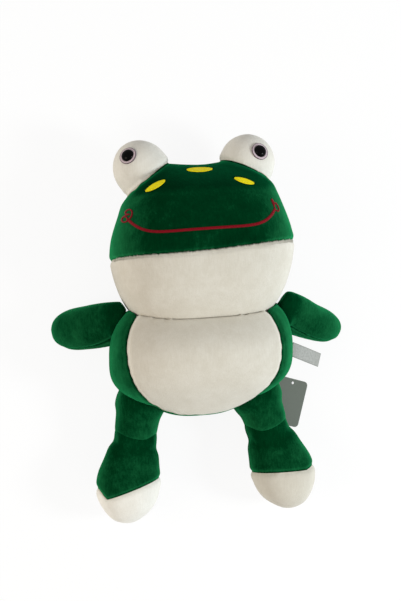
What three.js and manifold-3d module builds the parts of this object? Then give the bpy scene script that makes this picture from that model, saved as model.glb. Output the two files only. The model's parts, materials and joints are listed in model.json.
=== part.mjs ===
// A plush frog lying on its back: sewn fabric panels over stuffing, safety eyes on washers,
// embroidered mouth and brow spots, a ribbon label and a card tag.
// Millimetres. +X is the frog's left, +Y points to its head, +Z up through its face and belly.
import * as THREE from 'three';
import { mergeVertices } from 'three/addons/utils/BufferGeometryUtils.js';
import Module from 'manifold-3d';

const wasm = await Module();
wasm.setup();

// Cloth, seams and fits
const fabric = 2.4;
const clearance = 0.3;
const restDip = 0.5;
const stitchRise = 0.9;
const coarseSpare = 4;
const sweepSpare = 0.7;
const weld = 1e-3;

// Torso, from the crotch to the hidden top inside the neck
const torso = {
  bottom: -87, length: 148, halfWidth: 106, front: 81, back: 62,
  blunt: 3.2, roundness: 2.35, centre: -5.5, lean: 9,
  widthShares: [0.56, 0.94, 1.0, 0.96, 0.88],
  frontShares: [0.42, 0.84, 1.0, 0.76, 0.34],
  backShares: [0.72, 0.98, 1.0, 1.0, 0.8],
};

// Head, wide and flat topped, with a round neck that sits in the top of the torso
const head = {
  overlap: 52.5, length: 197.5, halfWidth: 107, front: 87, back: 64,
  blunt: 3, roundness: 2.5, centre: 2.5, lean: 8, seamDrop: 18,
  widthShares: [0.88, 0.935, 0.99, 0.9, 0.9],
  frontShares: [0.78, 0.98, 1.0, 0.86, 0.6],
  backShares: [0.7, 1.0, 1.0, 1.0, 0.8],
};
const neck = { radius: 74, halfLength: 91, blunt: 2.4, nodDown: 12, nodUp: 10 };

// The green and cream seam across the face, and the belly panel
const faceSeam = { centreShare: 0.437, rise: 9, tilt: 6.5, spanShare: 1.2 };
const belly = { halfWidth: 87, middle: -12, top: 60, bottom: -88, shift: -3, roundness: 2.2 };

// Eye domes on the top corners of the head
const dome = {
  height: 47, halfWidth: 32.3, front: 33, back: 31, root: 26, blunt: 2, roundness: 2.1,
  widthShares: [1.0, 1.0, 1.0, 1.02, 1.0],
  depthShares: [1.0, 1.0, 1.0, 1.0, 1.0],
};
const eye = {
  ringRadius: 10, ringThick: 1.2, pupilRadius: 7.2, pupilHeight: 4.6, shankRadius: 2.2, shankLength: 12,
  washerRadius: 7.5, washerThick: 1.6, ribDepth: 0.5, ribs: 3,
};
const domeAims = {
  right: { chordShares: [0.8, 0.99], shift: 5, heightShare: 1.03, eyeAlong: -6.4, eyeUp: 33 },
  left: { chordShares: [0.87, 0.997], shift: -1, heightShare: 0.92, eyeAlong: 6.6, eyeUp: 21 },
};

// Arms: flat mittens on a pinched root in the side seam
const arm = {
  length: 99.5, halfWidth: 26, front: 21, back: 21, blunt: 2.6, roundness: 2.2,
  rootRadius: 10.5, rootBlunt: 3, rootShare: 0.95, seatShare: 0.6, tuckShare: 0.06,
  chordShares: [0.65, 0.84],
  widthShares: [1.18, 1.04, 0.99, 1.0, 0.95],
  depthShares: [0.5, 0.72, 1.0, 1.06, 1.0],
  swingBack: 20, swingForward: 45,
};
const armAims = {
  right: { turn: 32, roll: -10, lengthShare: 1.0, widthShare: 0.97 },
  left: { turn: 38.5, roll: 25, lengthShare: 1.08, widthShare: 0.81 },
};

// Legs: a short thigh from the hip seam to the knee seam, then a shin with a cream toe cap
const legRise = 35;
const thigh = {
  length: 46, halfWidth: 34.5, front: 37, blunt: 4, roundness: 2.3,
  rootBlunt: 2.4, rootShare: 0.88, tuckShare: 0.1, chordShares: [0.02, 0.263], swingBack: 6, swingForward: 40,
  widthShares: [1.0, 0.96, 0.86, 0.76, 0.76],
  depthShares: [0.96, 0.93, 0.85, 0.76, 0.7],
};
const shin = {
  length: 98.5, halfWidth: 37, front: 34, blunt: 2.7, roundness: 2.3,
  rootRadius: 24.5, rootBlunt: 3, bendBack: 20, bendForward: 35,
  widthShares: [0.9, 0.92, 1.01, 0.96, 0.72],
  depthShares: [0.8, 0.8, 0.96, 1.04, 1.0],
  toeCornerShare: 0.5, toeSpanShare: 1.3,
};
const legAims = {
  right: { turn: 14, kneeTurn: 11, shinTurn: -8, toeShare: 0.6, toeTilt: 26.6, toeNick: 39 },
  left: { turn: 9, kneeTurn: 1, shinTurn: 1, toeShare: 0.525, toeTilt: 14, toeNick: 3 },
};

// Embroidery on the face
const mouth = {
  halfWidth: 81, sag: 19, bend: 6.5, tilt: 1.8, width: 3, centreShare: 0.557, shift: 0,
  curl: 4, curlTurn: 300, curlTightenShare: 0.15,
  knotShares: [-1, -0.92, -0.8, -0.55, -0.2, 0.2, 0.55, 0.8, 0.92, 1],
};
const spots = {
  right: { across: -49.1, share: 0.828, halfLength: 12.5, halfWidth: 3.3, turn: 27 },
  centre: { across: 2.5, share: 0.919, halfLength: 14.5, halfWidth: 3.3, turn: 0 },
  left: { across: 49.5, share: 0.831, halfLength: 11.5, halfWidth: 3.3, turn: -18 },
};
const spotBlunt = 1.3;

// Ribbon label in the side seam, and the card tag, whose inner edge leans up on the frog's left leg
const label = {
  width: 16.4, length: 44, thick: 0.8, seamShare: 0.42,
  turn: 19, droopTurn: 12, curlTurn: 24, swingTurn: 30,
};
const tag = {
  width: 41, length: 57, thick: 0.5, corner: 5, hole: 1.7, holeInset: 5, turn: -17.3, tilt: 16.4,
  seamShare: 0.1915, holeOut: 34.9,
};

const colours = {
  green: 0x0a5a32, cream: 0xd8d3c4, stuffing: 0xf2f1ec, yellow: 0xf7d414, red: 0xa51c30,
  pupil: 0x0c0c0e, ring: 0xcdbfd0, washer: 0xe6e6e2, grey: 0xa9aaa8, card: 0x7d857a,
};
const material = (name, roughness) => new THREE.MeshStandardMaterial({
  color: colours[name], roughness, metalness: 0,
});

// Geometry to solid and back
function solid(geometry) {
  const bare = geometry.clone();
  for (const name of Object.keys(bare.attributes)) {
    if (name !== 'position') bare.deleteAttribute(name);
  }
  const merged = mergeVertices(bare, weld);
  return new wasm.Manifold(new wasm.Mesh({
    numProp: 3,
    vertProperties: new Float32Array(merged.attributes.position.array),
    triVerts: new Uint32Array(merged.index.array),
  }));
}

function geometryOf(manifold) {
  const { vertProperties, triVerts } = manifold.getMesh();
  const geometry = new THREE.BufferGeometry();
  geometry.setAttribute('position', new THREE.BufferAttribute(vertProperties, 3));
  geometry.setIndex(new THREE.BufferAttribute(triVerts, 1));
  geometry.computeVertexNormals();
  return geometry;
}

const placed = (manifold, matrix) => manifold.transform(matrix.toArray());
const union = (solids) => solids.reduce((all, one) => all.add(one));
const carve = (manifold, cutters) => cutters.reduce((rest, one) => rest.subtract(one), manifold);
const radians = THREE.MathUtils.degToRad;

// A smooth curve through evenly spaced shares
function smooth(shares, s) {
  const points = shares.map((share, i) => new THREE.Vector2(i, share));
  return new THREE.SplineCurve(points).getPoint(s).y;
}

// How far a closed, round-ended outline stands out at the share s of its length
const swell = (s, blunt) => (1 - Math.abs(2 * s - 1) ** blunt) ** (1 / blunt);

// Stations crowd towards both ends, where a stuffed form turns in quickly
const station = (i, count) => (1 - Math.cos((Math.PI * i) / count)) / 2;

// A stuffed form along +Y: its rings swell and taper by the shares of its profiles
function stuffed(form, rings, sides) {
  const positions = [0, form.bottom, 0];
  const ringAt = (s) => {
    const round = swell(s, form.blunt);
    const width = form.halfWidth * round * smooth(form.widthShares, s);
    const front = form.front * round * smooth(form.frontShares, s);
    const back = form.back * round * smooth(form.backShares, s);
    for (let j = 0; j < sides; j += 1) {
      const angle = (2 * Math.PI * j) / sides;
      const power = 2 / form.roundness;
      const across = Math.sign(Math.cos(angle)) * Math.abs(Math.cos(angle)) ** power;
      const up = Math.sign(Math.sin(angle)) * Math.abs(Math.sin(angle)) ** power;
      positions.push(width * across, form.bottom + s * form.length, up * (up > 0 ? front : back));
    }
  };
  for (let i = 1; i < rings; i += 1) ringAt(station(i, rings));
  positions.push(0, form.bottom + form.length, 0);
  const faces = [];
  const at = (i, j) => 1 + i * sides + (j % sides);
  const last = positions.length / 3 - 1;
  for (let j = 0; j < sides; j += 1) {
    faces.push(0, at(0, j), at(0, j + 1));
    for (let i = 0; i < rings - 2; i += 1) {
      faces.push(at(i, j), at(i + 1, j), at(i + 1, j + 1));
      faces.push(at(i, j), at(i + 1, j + 1), at(i, j + 1));
    }
    faces.push(last, at(rings - 2, j + 1), at(rings - 2, j));
  }
  const geometry = new THREE.BufferGeometry();
  geometry.setAttribute('position', new THREE.Float32BufferAttribute(positions, 3));
  geometry.setIndex(faces);
  return geometry;
}

// The same form with its surface moved out along its normals, or in where the distance is negative
function grown(geometry, distance) {
  const copy = geometry.clone();
  copy.computeVertexNormals();
  const { position, normal } = copy.attributes;
  for (let i = 0; i < position.count; i += 1) {
    position.setXYZ(
      i,
      position.getX(i) + distance * normal.getX(i),
      position.getY(i) + distance * normal.getY(i),
      position.getZ(i) + distance * normal.getZ(i),
    );
  }
  return copy;
}

// A round root that turns in its socket about the X axis
function barrel(radius, halfLength, blunt, steps, sides) {
  const profile = [];
  for (let i = 0; i <= steps; i += 1) {
    const x = -halfLength * Math.cos((Math.PI * i) / steps);
    const share = (1 - Math.min(1, Math.abs(x / halfLength)) ** blunt) ** (1 / blunt);
    profile.push(new THREE.Vector2(radius * share, x));
  }
  profile[0].x = 0;
  profile[steps].x = 0;
  return new THREE.LatheGeometry(profile, sides).rotateZ(-Math.PI / 2);
}

const frogHeight = torso.length + head.length;
const big = 3 * frogHeight;

// Everything between two heights
function slab(low, high) {
  const box = new THREE.BoxGeometry(big, big, high - low);
  return solid(box.translate(0, 0, (low + high) / 2));
}
const above = (height) => slab(height, big);

// The outline of a form at the share s of its length, on one side, in the frog's frame
function outlinePoint(form, s, side) {
  const reach = form.halfWidth * swell(s, form.blunt) * smooth(form.widthShares, s);
  const centre = form.centre + form.lean * s;
  return new THREE.Vector3(centre + side * reach, form.bottom + s * form.length, 0);
}

// A frame whose X runs along a chord of the outline, with Y pointing out of the form
function chordFrame(form, shares, side, height) {
  const low = outlinePoint(form, shares[0], side);
  const high = outlinePoint(form, shares[1], side);
  const along = high.clone().sub(low).normalize().multiplyScalar(-side);
  const up = new THREE.Vector3(0, 0, 1);
  const out = up.clone().cross(along);
  const middle = low.clone().add(high).multiplyScalar(1 / 2).setZ(height);
  return {
    matrix: new THREE.Matrix4().makeBasis(along, out, up).setPosition(middle),
    halfLength: low.distanceTo(high) / 2,
    axis: along,
    point: middle,
  };
}

const turnZ = (degrees) => new THREE.Matrix4().makeRotationZ(radians(degrees));
const turnY = (degrees) => new THREE.Matrix4().makeRotationY(radians(degrees));
const turnX = (degrees) => new THREE.Matrix4().makeRotationX(radians(degrees));
const shift = (x, y, z) => new THREE.Matrix4().makeTranslation(x, y, z);
const chain = (...matrices) => matrices.reduce((all, one) => all.multiply(one), new THREE.Matrix4());

// What a jointed form takes from its neighbour: the socket of its round root, and the space of
// its body at rest and at both limits of its turn about the hinge frame's X axis
function socket({ body, ball }, hinge, low, high, distance, fine) {
  const inverse = hinge.clone().invert();
  const reach = distance + (fine ? sweepSpare : coarseSpare);
  const copies = [low, 0, high].map(
    (angle) => placed(body(reach, fine), chain(hinge, turnX(angle), inverse)),
  );
  return union([ball(distance, fine, true), ...copies]);
}

// The skin and stuffing of one sewn body that rests on the floor: shape gives its bare form moved
// out by a distance, and hollows gives what its neighbours take from it, grown by a distance
function sew(shape, hollows) {
  const cut = (distance, fine) => carve(shape(distance, fine), hollows(-distance, fine))
    .intersect(above(-distance));
  const outer = cut(0, true);
  const inner = cut(-fabric, false);
  return { skin: outer.subtract(inner), filling: cut(-fabric - clearance, false) };
}

const root = new THREE.Group();

// A group whose origin and X axis are its body's hinge
function hinged(parent, name, matrix) {
  const group = new THREE.Group();
  group.name = name;
  parent.updateWorldMatrix(true, false);
  chain(parent.matrixWorld.clone().invert(), matrix)
    .decompose(group.position, group.quaternion, group.scale);
  parent.add(group);
  group.updateWorldMatrix(true, false);
  return group;
}

function mainPiece(manifold) {
  const pieces = manifold.decompose();
  return pieces.reduce((best, one) => (one.volume() > best.volume() ? one : best));
}

function add(group, name, manifold, look) {
  const inverse = group.matrixWorld.clone().invert();
  const mesh = new THREE.Mesh(geometryOf(placed(mainPiece(manifold), inverse)), look);
  mesh.name = name;
  group.add(mesh);
}

const green = material('green', 0.85);
const cream = material('cream', 0.9);
const stuffing = material('stuffing', 1);

// The torso and head stand along Y and lean sideways as they lie
function leaning(form, geometry) {
  const { position } = geometry.attributes;
  for (let i = 0; i < position.count; i += 1) {
    const s = (position.getY(i) - form.bottom) / form.length;
    position.setX(i, position.getX(i) + form.centre + form.lean * s);
  }
  return geometry;
}

function trunkForm(form, level, rings, sides) {
  return (distance, fine = true) => {
    const coarse = fine ? 1 : 2;
    const geometry = leaning(form, stuffed(form, rings / coarse, sides / coarse));
    return placed(solid(grown(geometry, distance)), shift(0, 0, level));
  };
}

const torsoLevel = torso.back - restDip;
const headLevel = head.back - restDip;
head.bottom = torso.bottom + torso.length - head.overlap;

const torsoForm = trunkForm(torso, torsoLevel, 12, 24);
const headForm = trunkForm(head, headLevel, 14, 24);
const neckHinge = shift(head.centre, head.bottom + neck.radius, headLevel);

// The round root of a jointed form; a socket's facets stand clear of the corners that turn in it
function rootBall(hinge, radius, halfLength, blunt, steps, sides) {
  return (distance, fine = true, asSocket = false) => {
    const count = fine ? sides : sides / 2;
    const reach = asSocket ? radius / Math.cos(Math.PI / count) : radius;
    return placed(solid(barrel(reach + distance, halfLength + distance, blunt, steps, count)), hinge);
  };
}

function jointed(body, ball) {
  return { body, ball, shape: (distance, fine) => body(distance, fine).add(ball(distance, fine)) };
}

const headJoint = jointed(
  headForm,
  rootBall(neckHinge, neck.radius, neck.halfLength, neck.blunt, 8, 20),
);

// A limb is a stuffed form on a round root that turns about its hinge
function limb(form, frame, hinge, radius, halfLength, rings, sides) {
  const body = (distance, fine = true) => {
    const coarse = fine ? 1 : 2;
    return placed(solid(grown(stuffed(form, rings / coarse, sides / coarse), distance)), frame);
  };
  return jointed(body, rootBall(hinge, radius, halfLength, form.rootBlunt, 6, 12));
}

function makeArm(side) {
  const aim = side < 0 ? armAims.right : armAims.left;
  const hinge = chordFrame(torso, arm.chordShares, side, torsoLevel);
  const length = arm.length * aim.lengthShare;
  const form = {
    ...arm, bottom: -length * arm.tuckShare, length: length * (1 + arm.tuckShare),
    halfWidth: arm.halfWidth * aim.widthShare,
    frontShares: arm.depthShares, backShares: arm.depthShares,
  };
  const drop = Math.asin((torsoLevel + restDip - arm.back) / (length * arm.seatShare));
  const droop = turnX(-THREE.MathUtils.radToDeg(drop));
  const frame = chain(hinge.matrix, turnZ(-side * aim.turn), droop, turnY(aim.roll));
  const joint = limb(form, frame, hinge.matrix, arm.rootRadius, hinge.halfLength * arm.rootShare, 8, 12);
  return { hinge: hinge.matrix, frame, joint };
}

function makeLeg(side) {
  const aim = side < 0 ? legAims.right : legAims.left;
  const hip = chordFrame(torso, thigh.chordShares, side, legRise);
  const back = legRise - clearance;
  const thighForm = {
    ...thigh, bottom: -thigh.length * thigh.tuckShare, back,
    frontShares: thigh.depthShares, backShares: thigh.depthShares,
  };
  const thighFrame = chain(hip.matrix, turnZ(-side * aim.turn));
  const knee = chain(thighFrame, shift(0, thigh.length, 0), turnZ(-side * aim.kneeTurn));
  const shinForm = {
    ...shin, bottom: 0, back: legRise + restDip,
    frontShares: shin.depthShares, backShares: shin.depthShares,
  };
  const shinFrame = chain(knee, turnZ(-side * aim.shinTurn));
  return {
    hip: hip.matrix, knee, thighFrame, shinFrame,
    thighJoint: limb(thighForm, thighFrame, hip.matrix, back, hip.halfLength * thigh.rootShare, 6, 14),
    shinJoint: limb(shinForm, shinFrame, knee, shin.rootRadius, shin.rootRadius, 10, 14),
  };
}

const sides = { right: -1, left: 1 };
const arms = { right: makeArm(sides.right), left: makeArm(sides.left) };
const legs = { right: makeLeg(sides.right), left: makeLeg(sides.left) };

// What the head and the limbs take from the torso as they turn
function torsoHollows(distance, fine) {
  const gap = clearance + distance;
  const hollows = [socket(headJoint, neckHinge, -neck.nodUp, neck.nodDown, gap, fine)];
  for (const { hinge, joint } of Object.values(arms)) {
    hollows.push(socket(joint, hinge, -arm.swingBack, arm.swingForward, gap, fine));
  }
  for (const { hip, thighJoint } of Object.values(legs)) {
    hollows.push(socket(thighJoint, hip, -thigh.swingBack, thigh.swingForward, gap, fine));
  }
  return hollows;
}

const outlinePrism = (points, low, high) => solid(
  new THREE.ExtrudeGeometry(new THREE.Shape(points), { depth: high - low, bevelEnabled: false })
    .translate(0, 0, low),
);

// The belly panel's outline: a squarish round that runs out under the jaw and at the crotch
function bellyOutline(distance) {
  const points = [];
  const steps = 36;
  const power = 2 / belly.roundness;
  for (let i = 0; i < steps; i += 1) {
    const angle = (2 * Math.PI * i) / steps;
    const across = Math.sign(Math.cos(angle)) * Math.abs(Math.cos(angle)) ** power;
    const along = Math.sign(Math.sin(angle)) * Math.abs(Math.sin(angle)) ** power;
    const reach = (along > 0 ? belly.top - belly.middle : belly.middle - belly.bottom) + distance;
    points.push(new THREE.Vector2(
      belly.shift + (belly.halfWidth + distance) * across,
      belly.middle + reach * along,
    ));
  }
  return points;
}

function makeTorso() {
  const group = hinged(root, 'torso', new THREE.Matrix4());
  const { skin, filling } = sew(torsoForm, torsoHollows);
  const front = skin.intersect(above(torsoLevel + clearance / 2));
  const back = skin.subtract(above(torsoLevel - clearance / 2));
  const flanks = front.subtract(outlinePrism(bellyOutline(clearance), 0, big));
  const middle = torso.centre + torso.lean / 2;
  const half = new THREE.BoxGeometry(big, big, big);
  const leftHalf = solid(half.clone().translate(big / 2 + middle, 0, 0));
  const rightHalf = solid(half.translate(middle - big / 2, 0, 0));
  add(group, 'torso_back_panel', back, green);
  add(group, 'belly_panel', front.intersect(outlinePrism(bellyOutline(0), 0, big)), cream);
  add(group, 'side_panel_right', flanks.intersect(rightHalf), green);
  add(group, 'side_panel_left', flanks.intersect(leftHalf), green);
  add(group, 'torso_filling', filling, stuffing);
  return group;
}

// Below the face seam: the seam rises towards the sides of the head
function jawOutline(distance) {
  const points = [new THREE.Vector2(big, -big), new THREE.Vector2(big, 0)];
  const steps = 14;
  const base = head.bottom + head.length * faceSeam.centreShare;
  for (let i = steps; i >= 0; i -= 1) {
    const share = (2 * i) / steps - 1;
    const rise = faceSeam.rise * share ** 2 + faceSeam.tilt * share;
    const x = head.centre + share * faceSeam.spanShare * head.halfWidth;
    points.push(new THREE.Vector2(x, base + rise + distance));
  }
  points[1].y = points[2].y;
  points.push(new THREE.Vector2(-big, points[points.length - 1].y), new THREE.Vector2(-big, -big));
  return points;
}

// A patch of stitches on the crown inside an outline
function stitched(outline) {
  const layer = headForm(clearance + stitchRise).subtract(headForm(clearance));
  return layer.intersect(outlinePrism(outline, headLevel, big));
}

// A band of one width along a curve in plan, as an outline
function bandOutline(curve, width, steps) {
  const one = [];
  const other = [];
  for (let i = 0; i <= steps; i += 1) {
    const point = curve.getPoint(i / steps);
    const tangent = curve.getTangent(i / steps);
    const normal = new THREE.Vector2(-tangent.y, tangent.x).multiplyScalar(width / 2);
    one.push(point.clone().add(normal));
    other.unshift(point.clone().sub(normal));
  }
  return one.concat(other);
}

// The smile: a flat middle, rising ends and a curl at each end
function mouthCurve() {
  const middle = head.bottom + head.length * mouth.centreShare;
  const points = [];
  for (const t of mouth.knotShares) {
    const lift = mouth.sag * Math.abs(t) ** mouth.bend + mouth.tilt * t;
    points.push(new THREE.Vector2(head.centre + mouth.shift + mouth.halfWidth * t, middle + lift));
  }
  const curled = (end, side) => {
    const curl = [];
    const steps = 5;
    for (let i = 1; i <= steps; i += 1) {
      const angle = (i / steps) * radians(mouth.curlTurn);
      const reach = mouth.curl * (1 - (i / steps) * mouth.curlTightenShare);
      curl.push(new THREE.Vector2(
        end.x + side * (mouth.curl - reach * Math.cos(angle)),
        end.y + reach * Math.sin(angle),
      ));
    }
    return curl;
  };
  const right = curled(points[0], -1).reverse();
  const left = curled(points[points.length - 1], 1);
  return new THREE.SplineCurve([...right, ...points, ...left]);
}

function almond({ across, share, halfLength, halfWidth, turn }) {
  const middle = new THREE.Vector2(head.centre + across, head.bottom + head.length * share);
  const points = [];
  const steps = 20;
  for (let i = 0; i < steps; i += 1) {
    const angle = (2 * Math.PI * i) / steps;
    const width = halfWidth * Math.abs(Math.sin(angle)) ** spotBlunt * Math.sign(Math.sin(angle));
    const point = new THREE.Vector2(halfLength * Math.cos(angle), width);
    points.push(point.rotateAround(new THREE.Vector2(), radians(turn)).add(middle));
  }
  return points;
}

// The surface of a dome above a place on its chord frame, and its normal
function domeSurface(form, x, y) {
  const height = (a, b) => {
    const s = (b - form.bottom) / form.length;
    const round = swell(s, form.blunt);
    const width = form.halfWidth * round * smooth(form.widthShares, s);
    const front = form.front * round * smooth(form.frontShares, s);
    return front * (1 - Math.abs(a / width) ** form.roundness) ** (1 / form.roundness);
  };
  const step = clearance;
  const slopeX = (height(x + step, y) - height(x - step, y)) / (2 * step);
  const slopeY = (height(x, y + step) - height(x, y - step)) / (2 * step);
  return {
    point: new THREE.Vector3(x, y, height(x, y)),
    normal: new THREE.Vector3(-slopeX, -slopeY, 1).normalize(),
  };
}

const disc = (radius, low, high, steps = 24) => new THREE.CylinderGeometry(radius, radius, high - low, steps)
  .rotateX(Math.PI / 2)
  .translate(0, 0, (low + high) / 2);

// The washer lies on the stuffed side of the dome's cloth, which curves away under it
eye.washerLow = -(fabric + eye.washerRadius ** 2 / dome.front + clearance + eye.washerThick);

// A safety eye: the seat's plane is z = 0 in its own frame
function makeEye(group, side, frame) {
  const bore = eye.shankRadius + clearance;
  const ring = solid(disc(eye.ringRadius, clearance, clearance + eye.ringThick, 20))
    .subtract(solid(disc(bore, 0, 2 * eye.ringThick, 12)));
  const top = 2 * clearance + eye.ringThick;
  const profile = [new THREE.Vector2(0, -eye.shankLength)];
  const pitch = eye.shankLength / (2 * eye.ribs);
  for (let i = 0; i < eye.ribs; i += 1) {
    const low = -eye.shankLength + i * pitch;
    profile.push(new THREE.Vector2(eye.shankRadius - eye.ribDepth, low));
    profile.push(new THREE.Vector2(eye.shankRadius, low + pitch / 2));
  }
  profile.push(new THREE.Vector2(eye.shankRadius, top));
  const steps = 5;
  for (let i = 0; i <= steps; i += 1) {
    const angle = (Math.PI / 2) * (i / steps);
    profile.push(new THREE.Vector2(eye.pupilRadius * Math.cos(angle), top + eye.pupilHeight * Math.sin(angle)));
  }
  profile[profile.length - 1].x = 0;
  const pupil = solid(new THREE.LatheGeometry(profile, 16).rotateX(Math.PI / 2));
  const low = eye.washerLow;
  const washer = solid(disc(eye.washerRadius, low, low + eye.washerThick, 14))
    .subtract(solid(disc(bore, low - clearance, low + eye.washerThick + clearance, 12)));
  add(group, `eye_ring_${side}`, placed(ring, frame), material('ring', 0.4));
  add(group, `eye_pupil_${side}`, placed(pupil, frame), material('pupil', 0.08));
  add(group, `eye_washer_${side}`, placed(washer, frame), material('washer', 0.5));
}

function domeFrame(side) {
  const aim = domeAims[side];
  const { matrix } = chordFrame(head, aim.chordShares, sides[side], headLevel);
  return chain(matrix, shift(aim.shift, 0, 0));
}

// Everything on the near side of a frame's XZ plane, moved out along Y by a distance
function behind(frame, distance) {
  const box = new THREE.BoxGeometry(big, big, big);
  return placed(solid(box.translate(0, distance - big / 2, 0)), frame);
}

// Everything on its far side
function beyond(frame, distance) {
  const box = new THREE.BoxGeometry(big, big, big);
  return placed(solid(box.translate(0, distance + big / 2, 0)), frame);
}

function makeDome(group, side) {
  const frame = domeFrame(side);
  const form = {
    ...dome, bottom: -dome.root, length: dome.height * domeAims[side].heightShare + dome.root,
    frontShares: dome.depthShares, backShares: dome.depthShares,
  };
  const shape = (distance, fine = true) => placed(
    solid(grown(stuffed(form, fine ? 10 : 6, fine ? 16 : 10), distance)),
    frame,
  );
  const { skin, filling } = sew(shape, (distance) => [behind(frame, clearance + distance)]);
  const { eyeAlong, eyeUp } = domeAims[side];
  const { point, normal } = domeSurface(form, eyeAlong, eyeUp);
  const across = new THREE.Vector3(0, 1, 0).cross(normal).normalize();
  const sunk = point.clone().addScaledVector(normal, -(eye.ringRadius ** 2) / (2 * dome.halfWidth));
  const seat = chain(frame, new THREE.Matrix4()
    .makeBasis(across, normal.clone().cross(across), normal).setPosition(sunk));
  const bore = eye.shankRadius + clearance;
  const recess = placed(solid(disc(eye.ringRadius + clearance, 0, dome.halfWidth, 20)), seat);
  const hole = placed(solid(disc(bore, -eye.shankLength - clearance, dome.halfWidth, 12)), seat);
  const pocket = placed(
    solid(disc(eye.washerRadius + clearance, eye.washerLow - clearance, dome.halfWidth, 14)),
    seat,
  );
  add(group, `eye_dome_${side}`, carve(skin, [recess, hole]), cream);
  add(group, `dome_filling_${side}`, carve(filling, [recess, hole, pocket]), stuffing);
  makeEye(group, side, seat);
}

function makeHead(parent) {
  const group = hinged(parent, 'head', neckHinge);
  const { skin, filling } = sew(headJoint.shape, (distance) => Object.keys(sides).map(
    (side) => beyond(domeFrame(side), -distance),
  ));
  const level = headLevel - head.seamDrop;
  const front = skin.intersect(above(level + clearance / 2));
  const jaw = outlinePrism(jawOutline(0), 0, big);
  const jawGrown = outlinePrism(jawOutline(clearance), 0, big);
  add(group, 'head_back_panel', skin.subtract(above(level - clearance / 2)), green);
  add(group, 'crown_panel', front.subtract(jawGrown), green);
  add(group, 'jaw_panel', front.intersect(jaw), cream);
  add(group, 'head_filling', filling, stuffing);
  add(group, 'mouth_line', stitched(bandOutline(mouthCurve(), mouth.width, 36)), material('red', 0.6));
  for (const [name, spot] of Object.entries(spots)) {
    add(group, `brow_spot_${name}`, stitched(almond(spot)), material('yellow', 0.6));
  }
  for (const side of Object.keys(sides)) makeDome(group, side);
}

// The front and back halves of a skin, seen in the frame of its limb
function halves(skin, frame) {
  const front = placed(above(clearance / 2), frame);
  const notBack = placed(above(-clearance / 2), frame);
  return [skin.intersect(front), skin.subtract(notBack)];
}

function sewArm(parent, side) {
  const { hinge, frame, joint } = arms[side];
  const group = hinged(parent, `arm_${side}`, hinge);
  const { skin, filling } = sew(joint.shape, () => []);
  const [front, back] = halves(skin, frame);
  add(group, `arm_front_${side}`, front, green);
  add(group, `arm_back_${side}`, back, green);
  add(group, `arm_filling_${side}`, filling, stuffing);
}

// The toe cap's seam: it slants down to a corner near the outer side and turns back there
function toeOutline(side, distance) {
  const { toeShare, toeTilt, toeNick } = side < 0 ? legAims.right : legAims.left;
  const corner = shin.toeCornerShare;
  const span = shin.toeSpanShare * shin.halfWidth;
  const middle = shin.length * toeShare - distance;
  const seam = [-1, corner, 1].map((share) => new THREE.Vector2(
    -side * share * span,
    middle + toeTilt * share - (toeTilt + toeNick) * Math.max(0, share - corner),
  ));
  const far = [new THREE.Vector2(-side * big, seam[2].y), new THREE.Vector2(-side * big, big)];
  const near = [new THREE.Vector2(side * big, big), new THREE.Vector2(side * big, seam[0].y)];
  const points = [...seam, ...far, ...near];
  return side < 0 ? points : points.reverse();
}

function sewLeg(parent, side) {
  const leg = legs[side];
  const thighGroup = hinged(parent, `thigh_${side}`, leg.hip);
  const thighBody = sew(leg.thighJoint.shape, (distance) => [
    socket(leg.shinJoint, leg.knee, -shin.bendBack, shin.bendForward, clearance + distance),
  ]);
  const [front, back] = halves(thighBody.skin, leg.thighFrame);
  add(thighGroup, `thigh_front_${side}`, front, green);
  add(thighGroup, `thigh_back_${side}`, back, green);
  add(thighGroup, `thigh_filling_${side}`, thighBody.filling, stuffing);

  const shinGroup = hinged(thighGroup, `shin_${side}`, leg.knee);
  const shinBody = sew(leg.shinJoint.shape, () => []);
  const toe = placed(outlinePrism(toeOutline(sides[side], 0), -big, big), leg.shinFrame);
  const toeGrown = placed(outlinePrism(toeOutline(sides[side], clearance), -big, big), leg.shinFrame);
  const [shinFront, shinBack] = halves(shinBody.skin.subtract(toeGrown), leg.shinFrame);
  add(shinGroup, `shin_front_${side}`, shinFront, green);
  add(shinGroup, `shin_back_${side}`, shinBack, green);
  add(shinGroup, `toe_cap_${side}`, shinBody.skin.intersect(toe), cream);
  add(shinGroup, `shin_filling_${side}`, shinBody.filling, stuffing);
}

// The ribbon label leaves the side seam on the frog's left and droops
function makeLabel(parent) {
  const shares = [label.seamShare, label.seamShare + label.width / torso.length];
  const frame = chordFrame(torso, shares, sides.left, torsoLevel).matrix;
  const group = hinged(parent, 'label', frame);
  const radius = label.length / radians(label.curlTurn);
  const inner = [];
  const outer = [];
  const steps = 8;
  for (let i = 0; i <= steps; i += 1) {
    const angle = radians(label.curlTurn) * (i / steps);
    const point = new THREE.Vector2(radius * Math.sin(angle), -radius * (1 - Math.cos(angle)));
    const thick = new THREE.Vector2(Math.sin(angle), Math.cos(angle)).multiplyScalar(label.thick / 2);
    outer.push(point.clone().add(thick));
    inner.unshift(point.clone().sub(thick));
  }
  const ribbon = outlinePrism(outer.concat(inner), -label.width / 2, label.width / 2);
  const upright = new THREE.Matrix4().makeBasis(
    new THREE.Vector3(0, 1, 0), new THREE.Vector3(0, 0, 1), new THREE.Vector3(1, 0, 0),
  );
  const hung = placed(ribbon, chain(frame, turnZ(-label.turn), turnX(-label.droopTurn), upright));
  const inverse = frame.clone().invert();
  const clear = [-label.swingTurn, 0, label.swingTurn].map(
    (angle) => placed(torsoForm(clearance), chain(frame, turnX(angle), inverse)),
  );
  add(group, 'sewn_label', carve(hung, clear), material('grey', 0.8));
}

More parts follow.
